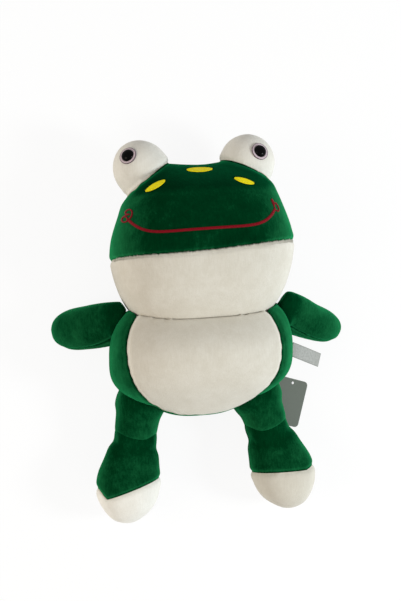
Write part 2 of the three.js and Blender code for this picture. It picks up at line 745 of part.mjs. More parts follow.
// The card tag turns about its hole
function makeTag(parent) {
  const anchor = outlinePoint(torso, tag.seamShare, sides.left);
  const rise = clearance + Math.sin(radians(tag.tilt)) * (tag.width / 2);
  const upright = chain(shift(anchor.x + tag.holeOut, anchor.y, rise), turnZ(tag.turn));
  const frame = chain(upright, turnY(tag.tilt));
  const group = hinged(parent, 'hang_tag', chain(upright, turnY(-90)));
  const card = new THREE.Shape();
  const w = tag.width / 2;
  const top = tag.holeInset;
  const low = top - tag.length;
  const quarter = Math.PI / 2;
  card.absarc(w - tag.corner, top - tag.corner, tag.corner, 0, quarter);
  card.absarc(-w + tag.corner, top - tag.corner, tag.corner, quarter, 2 * quarter);
  card.absarc(-w + tag.corner, low + tag.corner, tag.corner, 2 * quarter, 3 * quarter);
  card.absarc(w - tag.corner, low + tag.corner, tag.corner, 3 * quarter, 4 * quarter);
  const hole = new THREE.Path();
  hole.absarc(0, 0, tag.hole, 0, 4 * quarter, true);
  card.holes.push(hole);
  const plate = new THREE.ExtrudeGeometry(card, { depth: tag.thick, bevelEnabled: false, curveSegments: 5 });
  add(group, 'tag_card', placed(solid(plate), frame), material('card', 0.6));
}

const trunk = makeTorso();
makeHead(trunk);
for (const side of Object.keys(sides)) {
  sewArm(trunk, side);
  sewLeg(trunk, side);
}
makeLabel(trunk);
makeTag(trunk);

// The origin is the middle of the floor under the frog
const bounds = new THREE.Box3().setFromObject(root, true);
const centre = bounds.getCenter(new THREE.Vector3());
root.position.set(-centre.x, -centre.y, -bounds.min.z);

export default root;
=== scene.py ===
"""The looks of the plush frog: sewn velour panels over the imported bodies, safety eyes, embroidery,
a ribbon label and a card tag, on a plain white floor."""

import json
import math
from functools import partial

import bmesh
import bpy
import numpy as np
from mathutils import Matrix, Vector
from mathutils.bvhtree import BVHTree


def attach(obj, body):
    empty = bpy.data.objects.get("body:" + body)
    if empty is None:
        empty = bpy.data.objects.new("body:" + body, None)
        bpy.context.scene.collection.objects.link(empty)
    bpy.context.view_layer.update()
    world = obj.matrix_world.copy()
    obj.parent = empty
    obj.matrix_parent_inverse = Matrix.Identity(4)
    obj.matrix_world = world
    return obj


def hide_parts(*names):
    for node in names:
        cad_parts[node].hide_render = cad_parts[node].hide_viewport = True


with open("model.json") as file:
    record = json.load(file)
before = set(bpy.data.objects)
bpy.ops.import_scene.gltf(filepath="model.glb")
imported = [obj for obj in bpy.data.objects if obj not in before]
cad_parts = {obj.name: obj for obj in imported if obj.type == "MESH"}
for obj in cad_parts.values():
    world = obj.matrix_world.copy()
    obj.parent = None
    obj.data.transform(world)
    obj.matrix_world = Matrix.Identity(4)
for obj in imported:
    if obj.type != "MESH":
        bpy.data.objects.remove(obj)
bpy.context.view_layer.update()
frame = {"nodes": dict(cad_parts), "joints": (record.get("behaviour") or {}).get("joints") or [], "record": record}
nodes = frame["nodes"]
joints = {j["name"]: j for j in frame["joints"]}
scene = bpy.context.scene
MM = 0.001
SIDES = ("right", "left")

# Remeshing, stuffing and seams, in metres
VOXEL = 2.9 * MM
SHRINK = 0.2 * MM
SWELL_LIMIT, LEAST_SWELL = 4.0 * MM, 0.2 * MM
HELD, SEAM_HOLD = 7.0 * MM, 0.7
SEAM_DEPTH, SEAM_WIDTH, SEAM_REACH = 1.8 * MM, 2.6 * MM, 6.0 * MM
SEAM_LIP = 0.5 * MM
GATHER, GATHER_SIZE, GATHER_SEED = 0.3, 14 * MM, 5
ALLOWANCE = 3.0 * MM
CLOTH = {
    "quality": 4, "mass": 0.3, "tension_stiffness": 12, "compression_stiffness": 12,
    "shear_stiffness": 5, "bending_stiffness": 0.5, "pin_stiffness": 1.0,
    "use_pressure": True, "uniform_pressure_force": 4.0,
}
FRAMES = 20

# The stuffed forms' own measures, in millimetres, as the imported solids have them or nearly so
TORSO = {
    "bottom": -87, "length": 148, "width": 106, "front": 81, "back": 62,
    "blunt": 3.2, "roundness": 2.35, "centre": -5.5, "lean": 9,
    "widths": (0.56, 0.94, 1, 0.96, 0.88),
    "fronts": (0.42, 0.84, 1, 0.76, 0.34),
    "backs": (0.72, 0.98, 1, 1, 0.8),
}
HEAD = {
    "bottom": 8.5, "length": 197.5, "width": 107, "front": 87, "back": 64,
    "blunt": 3, "roundness": 2.5, "centre": 2.5, "lean": 8,
    "widths": (0.88, 0.935, 0.99, 0.9, 0.9),
    "fronts": (0.78, 0.98, 1, 0.86, 0.6),
    "backs": (0.7, 1, 1, 1, 0.8),
}
DOME = {
    "bottom": -26, "width": 32.3, "front": 33, "back": 31, "blunt": 2, "roundness": 2.1,
    "widths": (1, 1, 1, 1.02, 1), "depths": (1, 1, 1, 1, 1),
}
ARM = {
    "front": 21, "back": 21, "blunt": 2.6, "roundness": 2.2,
    "widths": (1.18, 1.04, 0.99, 1, 0.95), "depths": (0.5, 0.72, 1, 1.06, 1),
}
THIGH = {
    "bottom": -4.6, "length": 52, "width": 29, "front": 37, "back": 34.7,
    "blunt": 6, "roundness": 2.3,
    "widths": (1.02, 0.95, 0.88, 0.85, 0.86), "depths": (0.96, 0.93, 0.85, 0.78, 0.76),
}
SHIN = {
    "bottom": 0, "length": 98.5, "width": 37, "front": 34, "back": 35.5,
    "blunt": 2.7, "roundness": 2.3,
    "widths": (1.05, 0.92, 1.01, 0.96, 0.72), "depths": (0.8, 0.8, 0.96, 1.04, 1),
}
TORSO_LEVEL, HEAD_LEVEL, LEG_LEVEL = 61.5, 63.5, 35
HEAD_SEAM = HEAD_LEVEL - 18
NECK = (2.5, 82.5, HEAD_LEVEL)
DOME_TOP, DOME_SUNK = 47, 0.5
ARM_TUCK, HAND_AT, ARM_LIFT = 0.06, 0.6, 0.5
KNEE_AT = 46
SHOULDER_CHORD, HIP_CHORD, LABEL_AT = (0.65, 0.84), (0.02, 0.263), 0.42
# The round roots in the sockets, as radius, half length and bluntness
NECK_ROOT = (74, 91, 2.4)
KNEE_ROOT, KNEE_ROOM = (24.5, 24.5, 3), (24.5, 25.5, 3)
SHOULDER_RADIUS, ROOT_BLUNT = 10.5, 3
HIP_FLAT, HIP_OUTWARD = 0.85, 2
# Clearance between bodies where they lie together, where they move, and from the arms to the head
GAP, LOOSE, ARM_GAP = 0.4, 3.0, 0.8
AIMS = {
    "right": {
        "out": -1, "chord": (0.8, 0.99), "shift": 5, "height": 1.03,
        "arm_turn": 32, "arm_roll": -10, "arm_length": 99.5, "arm_width": 25.22,
        "seam_tilt": -0.5, "shoulder": (5, 24),
        "hip_turn": 14, "knee_turn": 11, "shin_turn": -8,
        "toe": 0.6, "toe_tilt": 26.6, "toe_nick": 39,
    },
    "left": {
        "out": 1, "chord": (0.87, 0.997), "shift": -1, "height": 0.92,
        "arm_turn": 38.5, "arm_roll": 25, "arm_length": 107.46, "arm_width": 21.06,
        "seam_tilt": 1.3, "shoulder": (15, 31),
        "hip_turn": 9, "knee_turn": 1, "shin_turn": 1,
        "toe": 0.525, "toe_tilt": 14, "toe_nick": 3,
    },
}
# Where the head's outline dips, and the belly's rounded outline, in millimetres
CHIN = {"drop": 3.5, "x": -28, "width": 48, "top": 45, "fade": 35, "depth": 40}
CROWN = {"drop": 5, "x": 9, "width": 34, "start": 165, "fade": 40}
BELLY = {"x": -3, "y": -12, "half": 87, "up": 72, "down": 76, "power": 2.2}
# Painted light and shade in the velour's colour, by place: below 0 painted shade, above 0 painted light
# Painted shade at the arm roots, the crown's top, the shin tops, the left toe and in the seams, and a little over
# the whole crown and thighs; painted light on the temples, domes, inner thighs, the right toe and beside the seams
PAINTED_SHADING = {
    "shoulder": -0.2, "face": -0.13, "crown": -0.26, "temple": 0.24, "dome": 0.35,
    "thigh": -0.06, "thigh_inner": 0.2, "shin": -0.14, "arm": -0.2,
    "toe_right": 0.55, "toe_left": -0.1, "beside_seam": 0.12, "in_seam": -0.3,
}


def spline(shares, s):
    """A smooth curve through evenly spaced shares."""
    p = np.array(shares, float)
    last = len(p) - 1
    at = s * last
    k = np.clip(np.floor(at).astype(int), 0, last)
    t = at - k
    p0, p1 = p[np.maximum(k - 1, 0)], p[k]
    p2, p3 = p[np.minimum(k + 1, last)], p[np.minimum(k + 2, last)]
    v0, v1 = (p2 - p0) / 2, (p3 - p1) / 2
    cubic, square = 2 * p1 - 2 * p2 + v0 + v1, 3 * p2 - 3 * p1 - 2 * v0 - v1
    return cubic * t**3 + square * t**2 + v0 * t + p1


def smooth_step(x):
    x = np.clip(x, 0, 1)
    return x * x * (3 - 2 * x)


def rising(x, start, length):
    return smooth_step((x - start) / length)


def bell(x, width, power=2):
    return np.exp(-((x / width) ** power))


def swell(s, blunt):
    return (1 - np.abs(2 * s - 1) ** blunt) ** (1 / blunt)


def capped(rings, low, high):
    """The points and faces of a row of rings, closed with a point at each end."""
    rows, sides = rings.shape[:2]
    last = 1 + rows * sides
    faces = []
    for j in range(sides):
        k = (j + 1) % sides
        faces.append((0, 1 + j, 1 + k))
        for a in range(1, last - sides, sides):
            faces.append((a + j, a + sides + j, a + sides + k, a + k))
        faces.append((last, last - sides + k, last - sides + j))
    return np.vstack([[low], rings.reshape(-1, 3), [high]]), faces


def stuffed(form, rings=44, sides=60, **changes):
    """The points and faces of a stuffed form along +Y, in its own frame."""
    form = {**form, **changes}
    centre, lean, bottom = form.get("centre", 0), form.get("lean", 0), form["bottom"]
    s = (1 - np.cos(np.pi * np.arange(1, rings) / rings))[:, None] / 2
    angle = 2 * np.pi * np.arange(sides) / sides
    power = 2 / form["roundness"]
    across = np.sign(np.cos(angle)) * np.abs(np.cos(angle)) ** power
    rise = np.sign(np.sin(angle)) * np.abs(np.sin(angle)) ** power
    round_it = swell(s, form["blunt"])
    width = form["width"] * round_it * spline(form["widths"], s)
    front = form["front"] * round_it * spline(form.get("fronts", form.get("depths")), s)
    below = form["back"] * round_it * spline(form.get("backs", form.get("depths")), s)
    x = centre + lean * s + width * across
    y = bottom + s * form["length"] + 0 * angle
    body = np.stack([x, y, np.where(rise > 0, front * rise, below * rise)], axis=-1)
    return capped(body, [centre, bottom, 0], [centre + lean, bottom + form["length"], 0])


def barrel(radius, half, blunt, steps=36, sides=60):
    """The round root of a jointed form, about its hinge's X axis."""
    x = -half * np.cos(np.pi * np.arange(1, steps) / steps)[:, None]
    reach = radius * (1 - np.abs(x / half) ** blunt) ** (1 / blunt)
    angle = 2 * np.pi * np.arange(sides) / sides
    rings = np.stack([x + 0 * angle, reach * np.cos(angle), reach * np.sin(angle)], axis=-1)
    return capped(rings, [-half, 0, 0], [half, 0, 0])


def turned(axis, degrees):
    return np.array(Matrix.Rotation(math.radians(degrees), 4, axis))


def moved(x, y, z):
    return np.array(Matrix.Translation((x, y, z)))


def outline_point(form, s, out):
    reach = form["width"] * swell(s, form["blunt"]) * float(spline(form["widths"], np.array(s)))
    x = form["centre"] + form["lean"] * s + out * reach
    return np.array([x, form["bottom"] + s * form["length"], 0])


def chord_frame(form, shares, out, height):
    """A frame whose X runs along a chord of the outline, with Y out of the form."""
    low, high = (outline_point(form, s, out) for s in shares)
    along = (high - low) / np.linalg.norm(high - low) * -out
    up = np.array([0, 0, 1.0])
    place = np.eye(4)
    place[:3, 0], place[:3, 1], place[:3, 2] = along, np.cross(up, along), up
    place[:3, 3] = (low + high) / 2 + up * height
    return place, np.linalg.norm(high - low) / 2


def places_of(aim):
    """The frames of one side's dome, arm and leg, with their round roots."""
    out = aim["out"]
    dome, _ = chord_frame(HEAD, aim["chord"], out, HEAD_LEVEL)
    shoulder, arm_half = chord_frame(TORSO, SHOULDER_CHORD, out, TORSO_LEVEL)
    fall = TORSO_LEVEL + ARM_LIFT - ARM["back"]
    drop = math.degrees(math.asin(fall / (HAND_AT * aim["arm_length"])))
    turn = turned("Z", -out * aim["arm_turn"])
    hip, hip_half = chord_frame(TORSO, HIP_CHORD, out, LEG_LEVEL)
    leg = hip @ turned("Z", -out * aim["hip_turn"])
    knee = leg @ moved(0, KNEE_AT, 0) @ turned("Z", -out * aim["knee_turn"])
    return {
        "dome": dome @ moved(aim["shift"], 0, 0),
        "shoulder": shoulder,
        "shoulder_root": (SHOULDER_RADIUS, 0.95 * arm_half, ROOT_BLUNT),
        "arm": shoulder @ turn @ turned("X", -drop) @ turned("Y", aim["arm_roll"]),
        "hip": hip,
        "hip_root": (THIGH["back"], 0.89 * (0.88 * hip_half), ROOT_BLUNT),
        "thigh": leg,
        "knee": knee,
        "shin": knee @ turned("Z", -out * aim["shin_turn"]),
    }


PLACES = {side: places_of(aim) for side, aim in AIMS.items()}
HEAD_PLACE = moved(0, 0, HEAD_LEVEL)

# From the forms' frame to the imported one, in metres
SHIFT = np.array(joints["neck_nod"]["pos_m"]) - np.array(NECK) * MM


def linked(name, mesh):
    obj = bpy.data.objects.new(name, mesh)
    scene.collection.objects.link(obj)
    return obj


def mesh_from(name, points, faces):
    mesh = bpy.data.meshes.new(name)
    mesh.from_pydata([tuple(p) for p in points], [], [tuple(f) for f in faces])
    mesh.polygons.foreach_set("use_smooth", [True] * len(mesh.polygons))
    mesh.update()
    return mesh


def applied(obj):
    """The object with its modifiers applied to its mesh."""
    depsgraph = bpy.context.evaluated_depsgraph_get()
    mesh = bpy.data.meshes.new_from_object(obj.evaluated_get(depsgraph))
    obj.modifiers.clear()
    obj.data = mesh
    return obj


def modified(obj, kind, **settings):
    """The object with one modifier added and applied."""
    modifier = obj.modifiers.new("change", kind)
    for key, value in settings.items():
        setattr(modifier, key, value)
    return applied(obj)


def vectors(collection, key):
    flat = np.empty(len(collection) * 3)
    collection.foreach_get(key, flat)
    return flat.reshape(-1, 3)


def coordinates(mesh):
    return vectors(mesh.vertices, "co")


def normals(mesh):
    return vectors(mesh.vertex_normals, "vector")


def set_coordinates(mesh, points):
    mesh.vertices.foreach_set("co", np.ascontiguousarray(points).ravel())
    mesh.update()


def transformed(points, place):
    return points @ place[:3, :3].T + place[:3, 3]


def local(points, place):
    return (points - place[:3, 3]) @ place[:3, :3]


def solid(shape, place=None, grow=0):
    """A stuffed form or root as an object, moved out by a distance along its normals."""
    points, faces = shape
    if place is not None:
        points = transformed(points, place)
    mesh = mesh_from("solid", points * MM + SHIFT, faces)
    if grow:
        set_coordinates(mesh, coordinates(mesh) + normals(mesh) * grow * MM)
    return linked("solid", mesh)


def combined(obj, operation, others):
    for other in others:
        modifier = obj.modifiers.new("cut", "BOOLEAN")
        modifier.operation = operation
        modifier.solver = "MANIFOLD"
        modifier.object = other
    applied(obj)
    for other in others:
        bpy.data.objects.remove(other)
    return obj


def half_space(place, offset, sign, size=300):
    """A large block on one side of a frame's XZ plane."""
    corners = [
        (x * size, offset + sign * y * size, z * size)
        for x in (-1, 1)
        for y in (0, 1)
        for z in (-1, 1)
    ]
    bm = bmesh.new()
    for corner in transformed(np.array(corners, float), place) * MM + SHIFT:
        bm.verts.new(corner)
    bmesh.ops.convex_hull(bm, input=bm.verts)
    mesh = bpy.data.meshes.new("block")
    bm.to_mesh(mesh)
    bm.free()
    return linked("block", mesh)


def swung(name, share=1.0):
    """The turn of a joint's body by a share of its range's high end, in the forms' frame."""
    joint = joints[name]
    pivot = (np.array(joint["pos_m"]) - SHIFT) / MM
    angle = math.radians(joint["range_deg"][1] * share)
    turn = np.array(Matrix.Rotation(angle, 4, Vector(joint["axis"])))
    return moved(*pivot) @ turn @ moved(*-pivot)


def arm_shape(side):
    """An arm, whose root is drawn out on its upper side towards the jaw."""
    aim = AIMS[side]
    tuck = ARM_TUCK * aim["arm_length"]
    length = aim["arm_length"] + tuck
    points, faces = stuffed(ARM, bottom=-tuck, length=length, width=aim["arm_width"])
    x, y = points.T[:2]
    upward = np.maximum(0, -aim["out"] * x) / aim["arm_width"]
    along = np.maximum(0, y)
    rise, reach = aim["shoulder"]
    x -= aim["out"] * rise * upward * bell(along, 36, 1.6)
    y -= reach * upward * bell(along, 20)
    return points, faces


def head_shape():
    """The head, whose top dips between the eye domes and whose chin hangs lower on one side."""
    points, faces = stuffed(HEAD)
    x, y, z = points.T
    chin = smooth_step((CHIN["top"] - y) / CHIN["fade"]) * smooth_step(z / CHIN["depth"])
    y -= CHIN["drop"] * chin * bell(x - CHIN["x"], CHIN["width"])
    crown = rising(y, CROWN["start"], CROWN["fade"])
    y -= CROWN["drop"] * crown * bell(x - CROWN["x"], CROWN["width"])
    return points, faces


def thigh_shape(side, root_shift=4, knee_shift=1):
    """The visible thigh: slimmer than its solid on the inner side, with a straight outer side."""
    points, faces = stuffed(THIGH)
    share = np.clip(points[:, 1] / THIGH["length"], 0, 1)
    points[:, 0] -= AIMS[side]["out"] * (root_shift - (root_shift - knee_shift) * share)
    return points, faces


def hip_solid(side, grow=0):
    """The thigh's round root, flattened a little on the thigh's side."""
    at, out = PLACES[side], AIMS[side]["out"]
    points, faces = barrel(*at["hip_root"])
    points[:, 1] = np.where(points[:, 1] > 0, HIP_FLAT * points[:, 1], points[:, 1])
    return solid((points, faces), at["hip"] @ moved(-HIP_OUTWARD * out, 0, 0), grow)


def room(shape, place, top):
    """Loose room for a moving form, kept under a level so that no edge on the face side opens."""
    block = solid(shape, place, LOOSE)
    points = coordinates(block.data)
    points[:, 2] = np.minimum(points[:, 2], top * MM + SHIFT[2])
    set_coordinates(block.data, points)
    return block


def torso_solid():
    hollows = [solid(head_shape(), HEAD_PLACE, GAP)]
    for place in (HEAD_PLACE, swung("neck_nod") @ HEAD_PLACE):
        hollows.append(room(head_shape(), place, TORSO_LEVEL - 2))
    hollows.append(solid(barrel(*NECK_ROOT), moved(*NECK), LOOSE))
    for side, at in PLACES.items():
        hollows.append(solid(arm_shape(side), at["arm"], GAP))
        hollows.append(solid(barrel(*at["shoulder_root"]), at["shoulder"], LOOSE))
        hollows.append(solid(thigh_shape(side), at["thigh"], GAP))
        hollows.append(hip_solid(side, GAP))
    return combined(solid(stuffed(TORSO), moved(0, 0, TORSO_LEVEL)), "DIFFERENCE", hollows)


def head_solid():
    head = solid(head_shape(), HEAD_PLACE)
    combined(head, "UNION", [solid(barrel(*NECK_ROOT), moved(*NECK))])
    combined(head, "DIFFERENCE", [half_space(at["dome"], 0, 1) for at in PLACES.values()])
    domes = []
    for side, at in PLACES.items():
        length = DOME_TOP * AIMS[side]["height"] - DOME["bottom"]
        dome = solid(stuffed(DOME, length=length), at["dome"])
        domes.append(combined(dome, "DIFFERENCE", [half_space(at["dome"], -DOME_SUNK, -1)]))
    return combined(head, "UNION", domes)


def arm_solid(side):
    """The arm, clear of the head at rest, of the nodding head, and of the head when half raised."""
    at = PLACES[side]
    arm = solid(arm_shape(side), at["arm"])
    combined(arm, "UNION", [solid(barrel(*at["shoulder_root"]), at["shoulder"])])
    raised = np.linalg.inv(swung(f"shoulder_{side}", 0.5)) @ HEAD_PLACE
    places = (HEAD_PLACE, swung("neck_nod") @ HEAD_PLACE, raised)
    return combined(arm, "DIFFERENCE", [solid(head_shape(), place, ARM_GAP) for place in places])


def thigh_solid(side):
    """The thigh with its root, hollowed for the shin and the knee's swing."""
    at = PLACES[side]
    thigh = combined(solid(thigh_shape(side), at["thigh"]), "UNION", [hip_solid(side)])
    hollows = [solid(barrel(*KNEE_ROOT), at["knee"], GAP), solid(stuffed(SHIN), at["shin"], GAP)]
    hollows.append(solid(barrel(*KNEE_ROOM), at["knee"] @ moved(0, -LOOSE, 0), GAP))
    return combined(thigh, "DIFFERENCE", hollows)


def shin_solid(side):
    at = PLACES[side]
    shin = solid(stuffed(SHIN), at["shin"])
    return combined(shin, "UNION", [solid(barrel(*KNEE_ROOT), at["knee"])])


def torso_levels(p):
    """For each panel, how far each point is outside it; negative inside."""
    x, y = p[:, 0] - BELLY["x"], p[:, 1] - BELLY["y"]
    reach, power = np.where(y > 0, BELLY["up"], BELLY["down"]), BELLY["power"]
    ratio = (np.abs(x / BELLY["half"]) ** power + np.abs(y / reach) ** power) ** (1 / power)
    belly = np.hypot(x, y) * (1 - 1 / np.maximum(ratio, 1e-3))
    height = p[:, 2] - TORSO_LEVEL
    across = p[:, 0] + 1
    return {
        "torso_back_panel": height,
        "belly_panel": np.maximum(belly, -height),
        "side_panel_right": np.maximum.reduce([-belly, -height, across]),
        "side_panel_left": np.maximum.reduce([-belly, -height, -across]),
    }


def face_seam(x):
    """How far up the head the seam between jaw and crown lies: a slanting bow, a little uneven."""
    share = (x - HEAD["centre"]) / (1.2 * HEAD["width"])
    seam = HEAD["bottom"] + 0.437 * HEAD["length"] + 10 * share**2 + 6.5 * share - 0.2
    return seam + 0.15 * np.sin(1.9 * x) + 0.2 * np.sin(0.7 * x + 2)


def head_levels(p):
    jaw = p[:, 1] - face_seam(p[:, 0])
    height = p[:, 2] - HEAD_SEAM
    domes = {side: -local(p, at["dome"])[:, 1] for side, at in PLACES.items()}
    clear = -np.minimum(domes["right"], domes["left"])
    return {
        "head_back_panel": np.maximum(height, clear),
        "crown_panel": np.maximum.reduce([-jaw, -height, clear]),
        "jaw_panel": np.maximum.reduce([jaw, -height, clear]),
        "eye_dome_right": np.maximum(domes["right"], p[:, 0]),
        "eye_dome_left": np.maximum(domes["left"], -p[:, 0]),
    }


def half_levels(limb, side, p):
    """Front and back of a limb; an arm's plane tilts to show its seam on the near side."""
    q = local(p, PLACES[side][limb])
    tilt = AIMS[side]["seam_tilt"] if limb == "arm" else 0
    height = q[:, 2] - tilt * q[:, 0]
    return {f"{limb}_front_{side}": -height, f"{limb}_back_{side}": height}


def shin_levels(side, p):
    """The toe cap's seam slants, with a nick on its outer half."""
    q, aim = local(p, PLACES[side]["shin"]), AIMS[side]
    share = -aim["out"] * q[:, 0] / (1.3 * SHIN["width"])
    fold = (aim["toe_tilt"] + aim["toe_nick"]) * np.maximum(0, share - 0.5)
    toe = (aim["toe"] * SHIN["length"] + aim["toe_tilt"] * share - fold - q[:, 1]) * 0.9
    return {
        f"shin_front_{side}": np.maximum(-q[:, 2], -toe),
        f"shin_back_{side}": np.maximum(q[:, 2], -toe),
        f"toe_cap_{side}": toe,
    }


def painted_shading_of(name, p):
    """The painted light and shade at each point of a body, from the table of painted shading. The distances are in
    millimetres.
    """
    if name == "torso":
        nap_and_painted_shading = np.zeros(len(p))
        for at in PLACES.values():
            # Painted shade around each arm's root on the torso
            nap_and_painted_shading += PAINTED_SHADING["shoulder"] * bell(np.linalg.norm(p - at["shoulder"][:3, 3], axis=1), 22)
        return nap_and_painted_shading
    if name == "head":
        # Painted shade on the crown's top, painted light on the temples and on the eye domes
        nap_and_painted_shading = PAINTED_SHADING["face"] + PAINTED_SHADING["crown"] * rising(p[:, 1], 160, 10)
        nap_and_painted_shading += PAINTED_SHADING["temple"] * rising(np.abs(p[:, 0] - 6), 55, 45)
        dome = np.maximum(*[local(p, at["dome"])[:, 1] for at in PLACES.values()])
        return np.where(dome > 0, PAINTED_SHADING["dome"], np.where(p[:, 1] < 94, 0, nap_and_painted_shading))
    limb, side = name.split("_")
    across, along = local(p, PLACES[side][limb])[:, :2].T
    if limb == "thigh":
        # Painted light on the thigh's inner side towards the knee
        inner = smooth_step(AIMS[side]["out"] * across / 40 + 0.5)
        return PAINTED_SHADING["thigh_inner"] * rising(along, 8, 36) * inner + PAINTED_SHADING["thigh"]
    if limb == "shin":
        # Painted light on the right toe cap, painted shade on the left one and at the top of the shin
        toe = shin_levels(side, p)[f"toe_cap_{side}"]
        return np.where(toe < 0, PAINTED_SHADING[f"toe_{side}"], PAINTED_SHADING["shin"] * (1 - rising(along, 6, 30)))
    # Painted shade at the arm's root
    return PAINTED_SHADING["arm"] * (1 - rising(along, 2, 14))


# Each sewn body: how its solid is made, its panels' levels, and what lies under them
BODIES = {
    "torso": (torso_solid, torso_levels, ["torso_filling"]),
    "head": (head_solid, head_levels, ["head_filling", *(f"dome_filling_{s}" for s in SIDES)]),
}
LIMBS = {
    "arm": (arm_solid, partial(half_levels, "arm")),
    "thigh": (thigh_solid, partial(half_levels, "thigh")),
    "shin": (shin_solid, shin_levels),
}
for side in SIDES:
    for limb, (make, levels) in LIMBS.items():
        under = [f"{limb}_filling_{side}"]
        BODIES[f"{limb}_{side}"] = (partial(make, side), partial(levels, side), under)
CREAM = ("belly_panel", "jaw_panel", "eye_dome", "toe_cap")


def tree_of(parts):
    """One search tree over the surfaces of some CAD nodes."""
    bm = bmesh.new()
    for part in parts:
        bm.from_mesh(nodes[part].data)
    tree = BVHTree.FromBMesh(bm)
    bm.free()
    return tree


def distances(tree, points, reach):
    hits = (tree.find_nearest(Vector(p), reach) for p in points)
    return np.array([reach if hit[0] is None else hit[3] for hit in hits])


def above_floor(points):
    points[:, 2] = np.maximum(points[:, 2], 0)
    return points


def even(obj):
    """The solid as one closed even mesh, cut flat where it rests."""
    modified(obj, "REMESH", mode="VOXEL", voxel_size=VOXEL)
    modified(obj, "SMOOTH", factor=0.5, iterations=3)
    set_coordinates(obj.data, above_floor(coordinates(obj.data)))
    return obj


def stuff(obj, held):
    """Swells the skin under pressure with the cloth held at its seams."""
    group = obj.vertex_groups.new(name="held")
    for i, weight in enumerate(held):
        if weight > 0.01:
            group.add([i], float(weight), "REPLACE")
    cloth = obj.modifiers.new("cloth", "CLOTH")
    for key, value in CLOTH.items():
        setattr(cloth.settings, key, value)
    cloth.settings.vertex_group_mass = "held"
    cloth.settings.effector_weights.gravity = 0
    cloth.point_cache.frame_start = 1
    cloth.point_cache.frame_end = FRAMES
    for number in range(1, FRAMES + 1):
        scene.frame_set(number)
    depsgraph = bpy.context.evaluated_depsgraph_get()
    swollen = coordinates(obj.evaluated_get(depsgraph).data)
    obj.modifiers.clear()
    obj.vertex_groups.clear()
    scene.frame_set(1)
    return swollen


def subdivided(obj):
    return modified(obj, "SUBSURF", levels=1, render_levels=1)


def wavy(points, size, seed, waves=8):
    """A smooth even noise from about -1 to 1 over a surface, from a few crossed waves."""
    rng = np.random.default_rng(seed)
    total = np.zeros(len(points))
    for _ in range(waves):
        direction = rng.normal(size=3)
        direction *= (0.7 + 0.6 * rng.random()) / np.linalg.norm(direction)
        total += np.sin(points @ direction * (2 * math.pi / size) + rng.random() * 7)
    return total / (waves / 2)


def sides_of(face):
    return list(zip(face, face[1:] + face[:1]))


def key_of(a, b):
    return (min(a, b), max(a, b))


# Where a skin's rows hold a point, its normal, its distance from a seam and its panels' levels
POINT, NORMAL, SEAM, LEVELS = slice(0, 3), slice(3, 6), 6, 7


